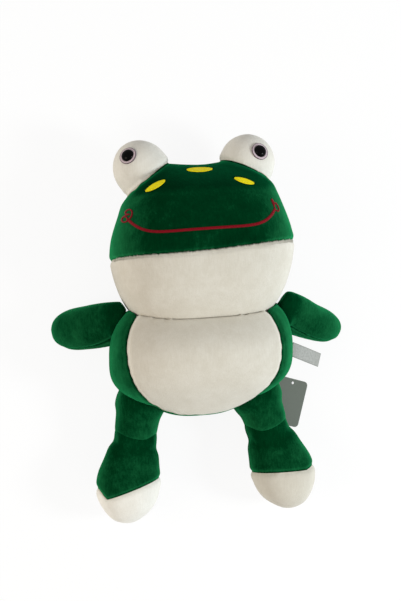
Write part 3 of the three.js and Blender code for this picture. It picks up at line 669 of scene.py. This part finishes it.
class Skin:
    """A stuffed body's fine surface in metres: a row for each point, which ends with its painted light and shade.
    """

    def __init__(self, name):
        self.name = name
        make, self.levels, _ = BODIES[name]
        obj = even(make())
        rest = coordinates(obj.data)
        final = self.swollen(obj, rest)
        set_coordinates(obj.data, rest)
        plain = subdivided(linked("plain", obj.data.copy()))
        set_coordinates(obj.data, final)
        subdivided(obj)
        levels = self.levels((coordinates(plain.data) - SHIFT) / MM)
        self.panels = list(levels)
        table = np.stack(list(levels.values()), axis=1) * MM
        seam = np.maximum(0, -table.min(axis=1))
        self.faces = [tuple(p.vertices) for p in obj.data.polygons]
        self.data = np.column_stack([coordinates(obj.data), normals(obj.data), seam, table])
        bpy.data.objects.remove(plain)
        bpy.data.objects.remove(obj)
        self.refine()
        self.sink_seams()
        self.paint_shading()

    def swollen(self, obj, rest):
        """The rest shape let out by the cloth's own swelling, up to a limit."""
        bodies = frame["record"]["behaviour"]["bodies"]
        others = [node for body in bodies if body != self.name for node in bodies[body]]
        near = distances(tree_of(others), rest, 2 * HELD)
        levels = self.levels((rest - SHIFT) / MM)
        seam = -np.min(list(levels.values()), axis=0) * MM
        held = 1 - rising(near, HELD / 2, HELD)
        held = np.maximum(held, SEAM_HOLD * (1 - smooth_step(seam / HELD)))
        start = rest - normals(obj.data) * (SHRINK * (1 - held))[:, None]
        set_coordinates(obj.data, start)
        move = stuff(obj, held) - rest
        length = np.linalg.norm(move, axis=1)
        limit = SWELL_LIMIT * (1 - held) + LEAST_SWELL
        scale = limit * np.tanh(length / limit) / np.maximum(length, 1e-9)
        return above_floor(rest + move * scale[:, None])

    def refine(self):
        """Splits the faces near the seams in four."""
        seam = self.data[:, SEAM]
        rows = list(self.data)
        middles = {}
        near = [min(seam[v] for v in f) < SEAM_REACH for f in self.faces]

        def middle(a, b):
            key = key_of(a, b)
            if key not in middles:
                middles[key] = len(rows)
                rows.append((self.data[a] + self.data[b]) / 2)
            return middles[key]

        for face, close in zip(self.faces, near):
            if close:
                for a, b in sides_of(face):
                    middle(a, b)
        faces = []
        for face, close in zip(self.faces, near):
            if close:
                centre = len(rows)
                rows.append(sum(self.data[v] for v in face) / len(face))
                mids = [middle(a, b) for a, b in sides_of(face)]
                for i, v in enumerate(face):
                    faces.append((v, mids[i], centre, mids[i - 1]))
            else:
                ring = [v for a, b in sides_of(face) for v in (a, middles.get(key_of(a, b)))]
                faces.append(tuple(v for v in ring if v is not None))
        self.data = np.array(rows)
        self.faces = faces

    def sink_seams(self):
        """Draws the skin in along its seams, more in some places than in others."""
        seam = self.data[:, SEAM]
        gather = 1 + GATHER * wavy(self.data[:, POINT], GATHER_SIZE, GATHER_SEED)
        valley = SEAM_DEPTH * gather * bell(seam, SEAM_WIDTH)
        lip = SEAM_LIP * bell(seam - 2.4 * SEAM_WIDTH, 1.5 * SEAM_WIDTH)
        self.data[:, POINT] += self.data[:, NORMAL] * (lip - valley)[:, None]
        above_floor(self.data)

    def paint_shading(self):
        """Adds each point's painted light and shade: painted shade in the seams and painted light beside them."""
        seam = self.data[:, SEAM]
        nap_and_painted_shading = painted_shading_of(self.name, (self.data[:, POINT] - SHIFT) / MM)
        # Painted light on the lip beside each seam and painted shade in its crease
        nap_and_painted_shading += PAINTED_SHADING["beside_seam"] * bell(seam - 2.6 * MM, 1.3 * MM)
        nap_and_painted_shading += PAINTED_SHADING["in_seam"] * bell(seam, 1.1 * MM)
        self.data = np.column_stack([self.data, nap_and_painted_shading])

    def panel(self, index):
        """The points, faces and painted light and shade of one panel, cut along its seams with its edge turned in.
        """
        level = self.data[:, LEVELS + index]
        rows, faces, kept, cuts = [], [], {}, {}

        def keep(v):
            if v not in kept:
                kept[v] = len(rows)
                rows.append(self.data[v])
            return kept[v]

        def cut(a, b):
            key = key_of(a, b)
            if key not in cuts:
                a, b = key
                share = level[a] / (level[a] - level[b])
                cuts[key] = len(rows)
                rows.append(self.data[a] * (1 - share) + self.data[b] * share)
            return cuts[key]

        for face in self.faces:
            ring = []
            for a, b in sides_of(face):
                if level[a] <= 0:
                    ring.append(keep(a))
                if (level[a] <= 0) != (level[b] <= 0):
                    ring.append(cut(a, b))
            if len(ring) > 2:
                faces.append(tuple(ring))
        return self.turned_in(rows, faces, set(cuts.values()))

    def turned_in(self, rows, faces, edge):
        """Folds the seam allowance in along the cut edge."""
        count = {}
        for face in faces:
            for a, b in sides_of(face):
                if a in edge and b in edge:
                    count.setdefault(key_of(a, b), []).append((a, b))
        inner = {}
        for a, b in (uses[0] for uses in count.values() if len(uses) == 1):
            for v in (a, b):
                if v not in inner:
                    inner[v] = len(rows)
                    row = rows[v].copy()
                    row[POINT] -= row[NORMAL] * ALLOWANCE
                    rows.append(row)
            faces.append((b, a, inner[a], inner[b]))
        rows = np.array(rows)
        return rows[:, POINT], faces, rows[:, -1]


class Look:
    """The nodes of a material or a world, with short calls that make, set and link them."""

    def __init__(self, name, kind="materials"):
        self.owner = getattr(bpy.data, kind).new(name)
        self.owner.use_nodes = True
        self.tree = self.owner.node_tree

    def set(self, node, values):
        """Links or sets a node's inputs, each by its name or number."""
        for key, value in values.items():
            if isinstance(value, bpy.types.NodeSocket):
                self.tree.links.new(value, node.inputs[key])
            else:
                node.inputs[key].default_value = value
        return node

    def add(self, kind, values=None, **settings):
        """A new node with its settings and inputs."""
        node = self.tree.nodes.new(f"ShaderNode{kind}")
        for key, value in settings.items():
            setattr(node, key, value)
        return self.set(node, values or {})

    def maths(self, operation, *values):
        """A sum or other step on outputs and plain numbers."""
        return self.add("Math", dict(enumerate(values)), operation=operation).outputs["Value"]

    def total(self, *terms):
        """The sum of some outputs, each times its share."""
        parts = [self.maths("MULTIPLY", output, share) for output, share in terms]
        return self.maths("ADD", *parts)

    def noise(self, place, scale, detail, **more):
        values = {"Vector": place, "Scale": scale, "Detail": detail, **more}
        return self.add("TexNoise", values).outputs["Fac"]

    def ramp(self, value, first, last, *between):
        """A ramp of colours, each with its position."""
        node = self.add("ValToRGB", {"Fac": value})
        ramp = node.color_ramp
        for element, (position, colour) in ((0, first), (1, last)):
            ramp.elements[element].position = position
            ramp.elements[element].color = (*colour, 1)
        for position, colour in between:
            ramp.elements.new(position).color = (*colour, 1)
        return node.outputs["Color"]

    def bump(self, height, strength, distance):
        """The normals of a height, whose distance is in millimetres."""
        values = {"Height": height, "Strength": strength, "Distance": distance * MM}
        return self.add("Bump", values).outputs["Normal"]

    def finish(self, colour, normal, roughness, **more):
        values = {"Base Color": colour, "Normal": normal, "Roughness": roughness}
        for key, value in more.items():
            values[key.replace("_", " ")] = value
        self.set(self.tree.nodes["Principled BSDF"], values)
        return self.owner


def velour(name, colours, sheen, nap_and_painted_shading, painted_sheen_share, rough, spread_share, painted_shading_share):
    """Short pile: fine grain, streaks along the pile and crushed patches, with a painted sheen on grazing edges
    and painted light and shade from each point's attribute.
    """
    look = Look(name)
    place = look.add("TexCoord").outputs["Object"]
    stretched = look.add("Mapping", {"Vector": place, "Scale": nap_and_painted_shading}).outputs["Vector"]
    noises = ((place, 900, 2), (stretched, 1, 3), (place, 38, 2), (place, 130, 3))
    grain, streaks, patches, crushed = (look.noise(*noise, Roughness=0.6) for noise in noises)
    pile = look.total((grain, 0.45), (streaks, 0.55))
    wear = look.total((patches, 0.6), (crushed, 0.4))
    shade = look.total((pile, 0.5), (wear, 0.5))
    # A painted sheen: the base colour is paler where the surface is seen at a grazing angle
    edge = look.add("LayerWeight", {"Blend": 0.5}).outputs["Facing"]
    rim = look.maths("MULTIPLY", look.maths("POWER", edge, 2.0), painted_sheen_share)
    spread = look.maths("MULTIPLY", look.maths("SUBTRACT", shade, 0.5), spread_share)
    # Painted light and shade from each point's attribute, added to a base value
    painted_shading = look.add("Attribute", attribute_name="nap_and_painted_shading").outputs["Fac"]
    base_and_painted_shading = look.maths("ADD", look.maths("MULTIPLY", painted_shading, painted_shading_share), 0.26)
    value = look.maths("ADD", look.maths("ADD", rim, spread), base_and_painted_shading)
    darkest, deep, pale = colours
    colour = look.ramp(value, (0, darkest), (1, pale), (0.2, deep))
    height = look.maths("ADD", pile, look.maths("MULTIPLY", wear, 0.8))
    return look.finish(
        colour, look.bump(height, 0.5, 0.8), rough,
        Specular_IOR_Level=0.0, Sheen_Weight=0.25, Sheen_Roughness=0.4, Sheen_Tint=(*sheen, 1),
    )


green = velour(
    "green_velour", [(0.0001, 0.014, 0.004), (0.0002, 0.030, 0.0085), (0.022, 0.25, 0.088)],
    sheen=(0.03, 0.9, 0.35), nap_and_painted_shading=(500, 90, 500),
    painted_sheen_share=0.5, rough=0.9, spread_share=0.9, painted_shading_share=0.8,
)
cream = velour(
    "cream_velour", [(0.53, 0.50, 0.43), (0.57, 0.54, 0.47), (0.80, 0.79, 0.745)],
    sheen=(1, 0.98, 0.93), nap_and_painted_shading=(700, 60, 700),
    painted_sheen_share=0.2, rough=0.95, spread_share=1.2, painted_shading_share=1.0,
)


def dressed(piece, look, slot, body, *replaced):
    """Gives a piece its material and body, and hides the CAD nodes that it replaces; the slot is not used."""
    piece.data.materials.append(look)
    if replaced:
        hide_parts(*replaced)
    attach(piece, body)


def sew_body(name):
    """Makes the panels of one body, each for its own CAD node, and returns its skin."""
    skin = Skin(name)
    for index, panel in enumerate(skin.panels):
        points, faces, nap_and_painted_shading = skin.panel(index)
        piece = linked(f"sewn_{panel}", mesh_from(panel, points, faces))
        # Each point's painted light and shade, for the velour's colour
        piece.data.attributes.new("nap_and_painted_shading", "FLOAT", "POINT").data.foreach_set("value", nap_and_painted_shading)
        pale = panel.startswith(CREAM)
        look, slot = (cream, "cream_velour") if pale else (green, "green_velour")
        dressed(piece, look, slot, name, panel)
        if index == 0:
            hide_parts(*BODIES[name][2])
    return skin


skins = {name: sew_body(name) for name in BODIES}


def rigid_material(name, colour, roughness, grain, depth, scale, shine=0.5):
    """A hard surface: a base colour with fine grain in its shade, gloss and height."""
    look = Look(name)
    noise = look.noise(look.add("TexCoord").outputs["Object"], scale, 3)
    low = [c * (1 - grain) for c in colour]
    high = [min(1, c * (1 + grain)) for c in colour]
    gloss = {"To Min": roughness * 0.85, "To Max": min(1, roughness * 1.15), "Value": noise}
    return look.finish(
        look.ramp(noise, (0.3, low), (0.7, high)),
        look.bump(noise, 0.4, depth),
        look.add("MapRange", gloss).outputs["Result"],
        Specular_IOR_Level=shine,
    )


# Each hard look's colour, roughness, grain, depth, scale and shine
RIGID = {
    "black_eye": ((0.0016, 0.0014, 0.0018), 0.06, 0.3, 0.01, 200, 0.04),
    "pale_ring": ((0.56, 0.46, 0.50), 0.35, 0.08, 0.02, 500, 0.3),
    # A dark ring that paints the shade and refraction at the clear eye's edge
    "painted_shade_rim": ((0.11, 0.07, 0.09), 0.45, 0.2, 0.02, 500),
    "washer": ((0.75, 0.75, 0.72), 0.45, 0.05, 0.05, 500),
    "grey_card": ((0.137, 0.152, 0.130), 0.75, 0.07, 0.06, 900, 0.2),
}
hard = {name: rigid_material(name, *values) for name, values in RIGID.items()}


def disc_frame(mesh):
    """The frame of a flat disc: its middle, with Z the way that its flat faces look, upwards."""
    points = coordinates(mesh)
    normal = Vector(max(mesh.polygons, key=lambda face: face.area).normal)
    if normal.z < 0:
        normal = -normal
    across = Vector((1, 0, 0)).cross(normal).normalized()
    place = Matrix((across, normal.cross(across), normal)).transposed().to_4x4()
    place.translation = Vector((points.max(axis=0) + points.min(axis=0)) / 2)
    return place


def lathed(name, profile, place, steps=48):
    """A profile of (radius, height) pairs in millimetres, turned about a place's Z axis."""
    bm = bmesh.new()
    made = []
    for radius, height in profile:
        for a in 2 * np.pi * np.arange(steps) / steps:
            point = (radius * math.cos(a) * MM, radius * math.sin(a) * MM, height * MM)
            made.append(bm.verts.new(place @ Vector(point)))
    for i in range(0, (len(profile) - 1) * steps, steps):
        for j in range(steps):
            k = (j + 1) % steps
            bm.faces.new([made[v] for v in (i + j, i + k, i + steps + k, i + steps + j)])
    bmesh.ops.remove_doubles(bm, verts=bm.verts, dist=0.01 * MM)
    bmesh.ops.recalc_face_normals(bm, faces=bm.faces)
    mesh = bpy.data.meshes.new(name)
    bm.to_mesh(mesh)
    bm.free()
    mesh.polygons.foreach_set("use_smooth", [True] * len(mesh.polygons))
    return linked(name, mesh)


# The safety eyes' radii and heights, in millimetres
RING_HALF = 0.6
SHANK_RADIUS, SHANK_END = 2.2, -12.9
PUPIL_RADIUS, PUPIL_BASE, PUPIL_RISE, PUPIL_BEVEL = 7.2, 0.9, 4.6, 0.3


def ring_profile(inner, arc_start, outer, under, rise):
    """A flat ring whose top is rounded from a radius to its outer edge."""
    level = RING_HALF - under
    middle, half = (arc_start + outer) / 2, (outer - arc_start) / 2
    angles = [math.radians(a) for a in range(0, 181, 15)]
    arc = [(middle - half * math.cos(a), level + rise * math.sin(a)) for a in angles]
    return [(inner, -RING_HALF), (inner, level), *arc, (outer, -RING_HALF), (inner, -RING_HALF)]


def make_eye(side):
    """The pupil's dome on its shank, the pale ring and a dark rim of painted shade and refraction around it."""
    place = disc_frame(nodes[f"eye_ring_{side}"].data)
    ring = lathed(f"ring_{side}", ring_profile(7.0, 7.1, 9.4, 0.1, 0.35), place)
    dressed(ring, hard["pale_ring"], "pale_ring", "head", f"eye_ring_{side}")
    # A dark ring of painted shade and refraction around the pale ring
    rim = lathed(f"rim_{side}", ring_profile(9.4, 9.4, 10.0, 0.15, 0.2), place)
    dressed(rim, hard["painted_shade_rim"], "pale_ring", "head")
    foot = PUPIL_BASE - PUPIL_BEVEL
    profile = [(0, SHANK_END), (SHANK_RADIUS, SHANK_END), (SHANK_RADIUS, foot)]
    profile.append((PUPIL_RADIUS - PUPIL_BEVEL, foot))
    for a in (math.radians(a) for a in range(0, 91, 6)):
        profile.append((PUPIL_RADIUS * math.cos(a), PUPIL_BASE + PUPIL_RISE * math.sin(a)))
    pupil = lathed(f"pupil_{side}", profile, place)
    dressed(pupil, hard["black_eye"], "black_eye", "head", f"eye_pupil_{side}")


for side in SIDES:
    make_eye(side)
    for slot in nodes[f"eye_washer_{side}"].material_slots:
        slot.material = hard["washer"]
for slot in nodes["tag_card"].material_slots:
    slot.material = hard["grey_card"]

face = BVHTree.FromPolygons([Vector(p) for p in skins["head"].data[:, :3]], skins["head"].faces)


def drop(x, y):
    """Where a point of the forms' plan lands on the face from above, and the normal there."""
    start = Vector(SHIFT + np.array([x, y, 0]) * MM)
    start.z = 0.3
    return face.ray_cast(start, Vector((0, 0, -1)))[:2]


def lengths_along(line):
    steps = np.linalg.norm(np.diff(line, axis=0), axis=1)
    return np.concatenate([[0], np.cumsum(steps)])


def smooth_line(knots, step=0.5):
    """A smooth curve through the knots, as points about a step apart."""
    knots = np.array(knots, float)
    spans = max(8, int(np.linalg.norm(np.diff(knots, axis=0), axis=1).sum() / step))
    s = np.linspace(0, 1, spans + 1)[:-1]
    line = np.stack([spline(knots[:, 0], s), spline(knots[:, 1], s)], axis=1)
    line = np.vstack([line, knots[-1:]])
    along = lengths_along(line)
    even_steps = np.linspace(0, along[-1], spans + 1)
    return np.stack([np.interp(even_steps, along, line[:, i]) for i in (0, 1)], axis=1)


# How high satin stitches stand across a band, from one edge to the other
SATIN = (
    (-1, -0.5), (-0.94, 0.35), (-0.7, 0.85), (-0.3, 1),
    (0.3, 1), (0.7, 0.85), (0.94, 0.35), (1, -0.5),
)
RIMMED = (
    (-1, -0.5), (-0.93, 0.6), (-0.78, 1.05), (-0.6, 0.7), (0, 0.85),
    (0.6, 0.7), (0.78, 1.05), (0.93, 0.6), (1, -0.5),
)
STITCH_HEIGHT, STITCH_SUNK = 0.9, 0.6


def stitch_uvs(mesh, at):
    """Writes each corner's place on the flat band, by its point's number."""
    layer = mesh.uv_layers.new(name="stitch")
    for loop in mesh.loops:
        layer.data[loop.index].uv = at[loop.vertex_index % len(at)]


def embroidered(name, lines, section, look, slot, node):
    """Raised bands of stitches on the face, each along a line with a width at each point."""
    points, faces, across_at = [], [], []
    count = len(section)
    for line, widths in lines:
        tangent = np.gradient(line, axis=0)
        tangent /= np.linalg.norm(tangent, axis=1)[:, None]
        side_way = np.stack([-tangent[:, 1], tangent[:, 0]], axis=1)
        along = lengths_along(line)
        first = len(points)
        for i, centre in enumerate(line):
            ends = 0 if i in (0, len(line) - 1) else 1
            for u, rise in section:
                hit, normal = drop(*(centre + side_way[i] * u * widths[i] / 2))
                lift = rise * ends * STITCH_HEIGHT if rise > 0 else rise * STITCH_SUNK
                points.append(hit + normal * lift * MM)
                across_at.append((along[i], u))
        for i in range(len(line) - 1):
            for j in range(count - 1):
                a = first + i * count + j
                faces.append((a, a + 1, a + count + 1, a + count))
    mesh = mesh_from(name, points, faces)
    stitch_uvs(mesh, across_at)
    bm = bmesh.new()
    bm.from_mesh(mesh)
    bmesh.ops.recalc_face_normals(bm, faces=bm.faces)
    if sum(f.normal.z for f in bm.faces) < 0:
        bmesh.ops.reverse_faces(bm, faces=bm.faces)
    bm.to_mesh(mesh)
    bm.free()
    dressed(linked(name, mesh), look, slot, "head", node)


def thread(name, deep, pale, pitch=0.7):
    """Satin stitches: threads side by side over the band, with painted shade between them and at the band's edges.
    """
    look = Look(name)
    place = look.add("UVMap", uv_map="stitch").outputs["UV"]
    split = look.add("SeparateXYZ", {"Vector": place}).outputs
    noise = look.noise(place, 1.3, 2)
    lean = look.maths("ADD", split["X"], look.maths("MULTIPLY", split["Y"], 0.25))
    phase = look.total((lean, 2 * math.pi / pitch), (noise, 3))
    ridge = look.maths("MULTIPLY", look.maths("ADD", look.maths("SINE", phase), 1.0), 0.5)
    # Painted shade between the threads and where the stitches turn down at the band's edges
    edge = look.maths("POWER", look.maths("ABSOLUTE", split["Y"]), 4.0)
    body = look.maths("ADD", look.maths("MULTIPLY", ridge, 0.5), 0.45)
    shade = look.maths("SUBTRACT", body, look.maths("MULTIPLY", edge, 0.6))
    colour = look.ramp(shade, (0, deep), (1, pale))
    return look.finish(colour, look.bump(ridge, 0.5, 0.25), 0.5, Specular_IOR_Level=0.08)


red = thread("red_embroidery", (0.03, 0.0003, 0.0012), (0.26, 0.002, 0.010))
yellow = thread("yellow_embroidery", (0.75, 0.58, 0.003), (1.0, 0.88, 0.01))

# The curls of the scroll at each end of the mouth, from that end, in millimetres
SCROLLS = {
    "right": [
        [(0, 0), (2.9, 3.2), (4.1, 6.8), (3.7, 10.3), (1.8, 12.4),
         (-0.8, 12), (-2.6, 9.7), (-1.9, 7.6), (1.4, 6.6)],
        [(1.8, 6.7), (-2.1, 6.1), (-5, 4.6), (-6.6, 1.8), (-5.7, -0.8),
         (-3.2, -1.7), (-0.8, -0.5), (-1, 2.2), (-2.2, 4.2), (-4, 5)],
    ],
    "left": [
        [(0, 0), (-0.7, 3.2), (-2, 7.1), (-3.1, 10.6),
         (-2.4, 11.1), (-1.1, 8.6), (0, 6.2), (-0.3, 4)],
        [(0, 6.6), (2.1, 7.5), (4.1, 5), (5.3, 1.5),
         (4.8, -1.6), (3.2, -2.1), (1.1, -0.8), (0.2, 0.6)],
    ],
}


def mouth_lines(up=0.557, half=81, rise=19, power=6.5, slant=1.8, turn=-3.6):
    """The smile, a flat middle with rising ends, and the stitched scroll at each end."""
    width, curl_width = 3.4, 1.7
    t = np.linspace(-1, 1, 41)
    y = HEAD["bottom"] + up * HEAD["length"] + rise * np.abs(t) ** power + slant * t
    smile = np.stack([HEAD["centre"] + half * t, y], axis=1)
    lines = [(smooth_line(smile), width)]
    c, s = math.cos(math.radians(turn)), math.sin(math.radians(turn))
    for side, start in (("right", smile[0]), ("left", smile[-1])):
        for curl in SCROLLS[side]:
            lines.append((smooth_line(np.array(curl) @ [[c, s], [-s, c]] + start), curl_width))
    return [(line, np.full(len(line), width)) for line, width in lines]


embroidered("mouth", mouth_lines(), SATIN, red, "red_embroidery", "mouth_line")


def seam_fringe(ends=(-96, 106), step=0.4, below=3.0, above=(-0.3, 1.0), spread=0.4, half=0.28):
    """Tufts of the jaw's pile that stand up over the seam under the crown."""
    sunk, lift, curve, flattest, seed = 0.1, (0.9, 1.5), 0.3, 0.2, 3
    rng = np.random.default_rng(seed)
    points, faces = [], []
    across = Vector((half * MM, 0, 0))
    for x in np.arange(*ends, step):
        y = face_seam(x)
        tip, lean = rng.uniform(*above), rng.normal(0, spread)
        foot, normal = drop(x, y - below)
        end, _ = drop(x + lean, y + tip)
        if foot is None or end is None or normal.z < flattest:
            continue
        foot -= normal * sunk * MM
        end += normal * rng.uniform(*lift) * MM
        middle = (foot + end) / 2 + normal * curve * MM
        k = len(points)
        points += [foot - across, foot + across, middle + across, middle - across, end]
        faces += [(k, k + 1, k + 2, k + 3), (k + 3, k + 2, k + 4)]
    piece = linked("seam_fringe", mesh_from("seam_fringe", points, faces))
    dressed(piece, cream, "cream_velour", "head")


seam_fringe()

# The brow spots' places over the middle and up the head, half lengths and turns
SPOTS = {
    "right": (-49.1, 0.828, 12.5, 27),
    "centre": (2.5, 0.919, 14.5, 0),
    "left": (49.5, 0.831, 11.5, -18),
}
SPOT_HALF_WIDTH, SPOT_LEAST_WIDTH = 3.3, 0.3
for name, (across, share, half, turn) in SPOTS.items():
    middle = np.array([HEAD["centre"] + across, HEAD["bottom"] + share * HEAD["length"]])
    way = np.array([math.cos(math.radians(turn)), math.sin(math.radians(turn))])
    u = -np.cos(np.linspace(0, math.pi, 49))
    widths = 2 * SPOT_HALF_WIDTH * (1 - u**2) ** 0.65 + SPOT_LEAST_WIDTH
    line = middle + way * (half * u)[:, None]
    band, node = [(line, widths)], f"brow_spot_{name}"
    embroidered(f"spot_{name}", band, RIMMED, yellow, "yellow_embroidery", node)


def ribbon_label(width=16.4, length=44.0, thick=0.7, turn=-19, tip=-12, droop=24):
    """A ribbon from the side seam that droops and curls a little, with a woven edge."""
    shares = (LABEL_AT, LABEL_AT + width / TORSO["length"])
    place, _ = chord_frame(TORSO, shares, 1, TORSO_LEVEL)
    place = place @ turned("Z", turn) @ turned("X", tip)
    radius = length / math.radians(droop)
    rows, columns = 44, 18
    u, v = np.mgrid[0 : 1 : (rows + 1) * 1j, -1 : 1 : (columns + 1) * 1j]
    angle = u * math.radians(droop)
    wave = 0.9 * u * np.sin(2.4 * math.pi * u + 0.5) + 1.1 * u**2 * v * np.sin(1.5 * u + 0.4)
    x = v * width / 2
    y = radius * np.sin(angle) + wave * np.sin(angle)
    z = -radius * (1 - np.cos(angle)) + wave
    from_edge = 1 - np.abs(v)
    selvedge = thick / 2 * (1 + 0.35 * bell(from_edge, 0.08))
    selvedge = selvedge * np.clip(from_edge / 0.03 + 0.25, 0, 1)
    top, low = (np.stack([x, y, z + part], axis=-1) for part in (selvedge, -selvedge))
    stride = columns + 1
    count = (rows + 1) * stride
    faces = []
    for i in range(rows):
        for j in range(columns):
            a = i * stride + j
            faces.append((a, a + stride, a + stride + 1, a + 1))
            faces.append((count + a, count + a + 1, count + a + stride + 1, count + a + stride))
    rim = list(range(stride))
    rim += [i * stride + columns for i in range(1, rows + 1)]
    rim += [rows * stride + j for j in range(columns - 1, -1, -1)]
    rim += [i * stride for i in range(rows - 1, 0, -1)]
    faces += [(a, b, count + b, count + a) for a, b in sides_of(rim)]
    points = transformed(np.stack([top, low]).reshape(-1, 3), place) * MM + SHIFT
    piece = linked("ribbon_label", mesh_from("ribbon", points, faces))
    stitch_uvs(piece.data, np.stack([u.ravel() * length, v.ravel() * width / 2], axis=1))
    dressed(piece, ribbon_look(), "grey_ribbon", "label", "sewn_label")


def ribbon_look():
    """A close satin weave: fine ribs across the ribbon and a soft shine."""
    look = Look("grey_ribbon")
    place = look.add("UVMap", uv_map="stitch").outputs["UV"]
    ribs = {"Vector": place, "Scale": 0.5, "Distortion": 0.6, "Detail": 2}
    wave = look.add("TexWave", ribs, bands_direction="X").outputs["Fac"]
    shade = look.maths("MULTIPLY_ADD", wave, 0.35, look.noise(place, 0.4, 3))
    colour = look.ramp(shade, (0.3, (0.21, 0.215, 0.20)), (0.95, (0.34, 0.345, 0.325)))
    return look.finish(colour, look.bump(wave, 0.35, 0.1), 0.45, Specular_IOR_Level=0.3)


ribbon_label()

# The camera at the photograph's angle, its focal length and centre in pixels of the photograph
LONG_SIDE, FOCAL, CENTRE, SENSOR = 601, 1037, (-0.5, 39.5), 36
eye_point = Vector(SHIFT) + Vector((-150, -10, 1250)) * MM
aim_point = Vector(SHIFT) + Vector((0, 0, 60)) * MM
roll = math.radians(3.6)
back = (eye_point - aim_point).normalized()
up = Vector((math.sin(roll), math.cos(roll), 0))
right = up.cross(back).normalized()
camera = bpy.data.cameras.new("camera")
camera.sensor_width = SENSOR
camera.lens = SENSOR * FOCAL / LONG_SIDE
camera.shift_x, camera.shift_y = (pixels / LONG_SIDE for pixels in CENTRE)
scene.camera = linked("camera", camera)
axes = Matrix((right, back.cross(right), back)).transposed().to_4x4()
scene.camera.matrix_world = Matrix.Translation(eye_point) @ axes

# Each light's place, size, power and colour
LIGHTS = {
    "key": ((1.5, -0.4, 1.15), 0.5, 29, (0.94, 0.99, 1.0)),
    "fill": ((-1.5, -0.25, 1.15), 1.2, 18, (1.0, 0.89, 0.75)),
}
LIT = Vector((0, 0, 0.06))
for name, (place, size, power, colour) in LIGHTS.items():
    light = bpy.data.lights.new(name, "AREA")
    light.shape = "DISK"
    light.size, light.energy, light.color = size, power, colour
    lamp = linked(name, light)
    lamp.location = place
    lamp.rotation_euler = (LIT - Vector(place)).to_track_quat("-Z", "Y").to_euler()


def background_rays(look):
    """1 for the rays that show the background: the camera's, and those in metal and glass."""
    rays = look.add("LightPath").outputs
    total = look.maths("MAXIMUM", rays["Is Camera Ray"], rays["Is Glossy Ray"])
    return look.maths("MAXIMUM", total, rays["Is Transmission Ray"])


def show(look, share, lit, plain, output):
    """Mixes what lights the scene with what its background shows."""
    mix = look.add("MixShader", {0: share, 1: lit, 2: plain})
    look.set(look.tree.nodes[output], {"Surface": mix.outputs["Shader"]})


sky = Look("world", "worlds")
scene.world = sky.owner
lit = sky.set(sky.tree.nodes["Background"], {"Color": (1, 1, 1, 1), "Strength": 0.42})
plain = sky.add("Background", {"Color": (1, 1, 1, 1)})
shown = [node.outputs["Background"] for node in (lit, plain)]
show(sky, background_rays(sky), *shown, "World Output")

FLOOR_WHITE = 0.9
floor = linked(
    "floor", mesh_from("floor", [(-3, -3, 0), (3, -3, 0), (3, 3, 0), (-3, 3, 0)], [(0, 1, 2, 3)])
)
ground = Look("floor")
values = {"Base Color": (*[FLOOR_WHITE] * 3, 1), "Roughness": 0.9}
lit = ground.set(ground.tree.nodes["Principled BSDF"], values).outputs["BSDF"]
share = ground.maths("MULTIPLY", background_rays(ground), FLOOR_WHITE)
show(ground, share, lit, ground.add("Emission").outputs["Emission"], "Material Output")
floor.data.materials.append(ground.owner)

scene.view_settings.view_transform = "Standard"
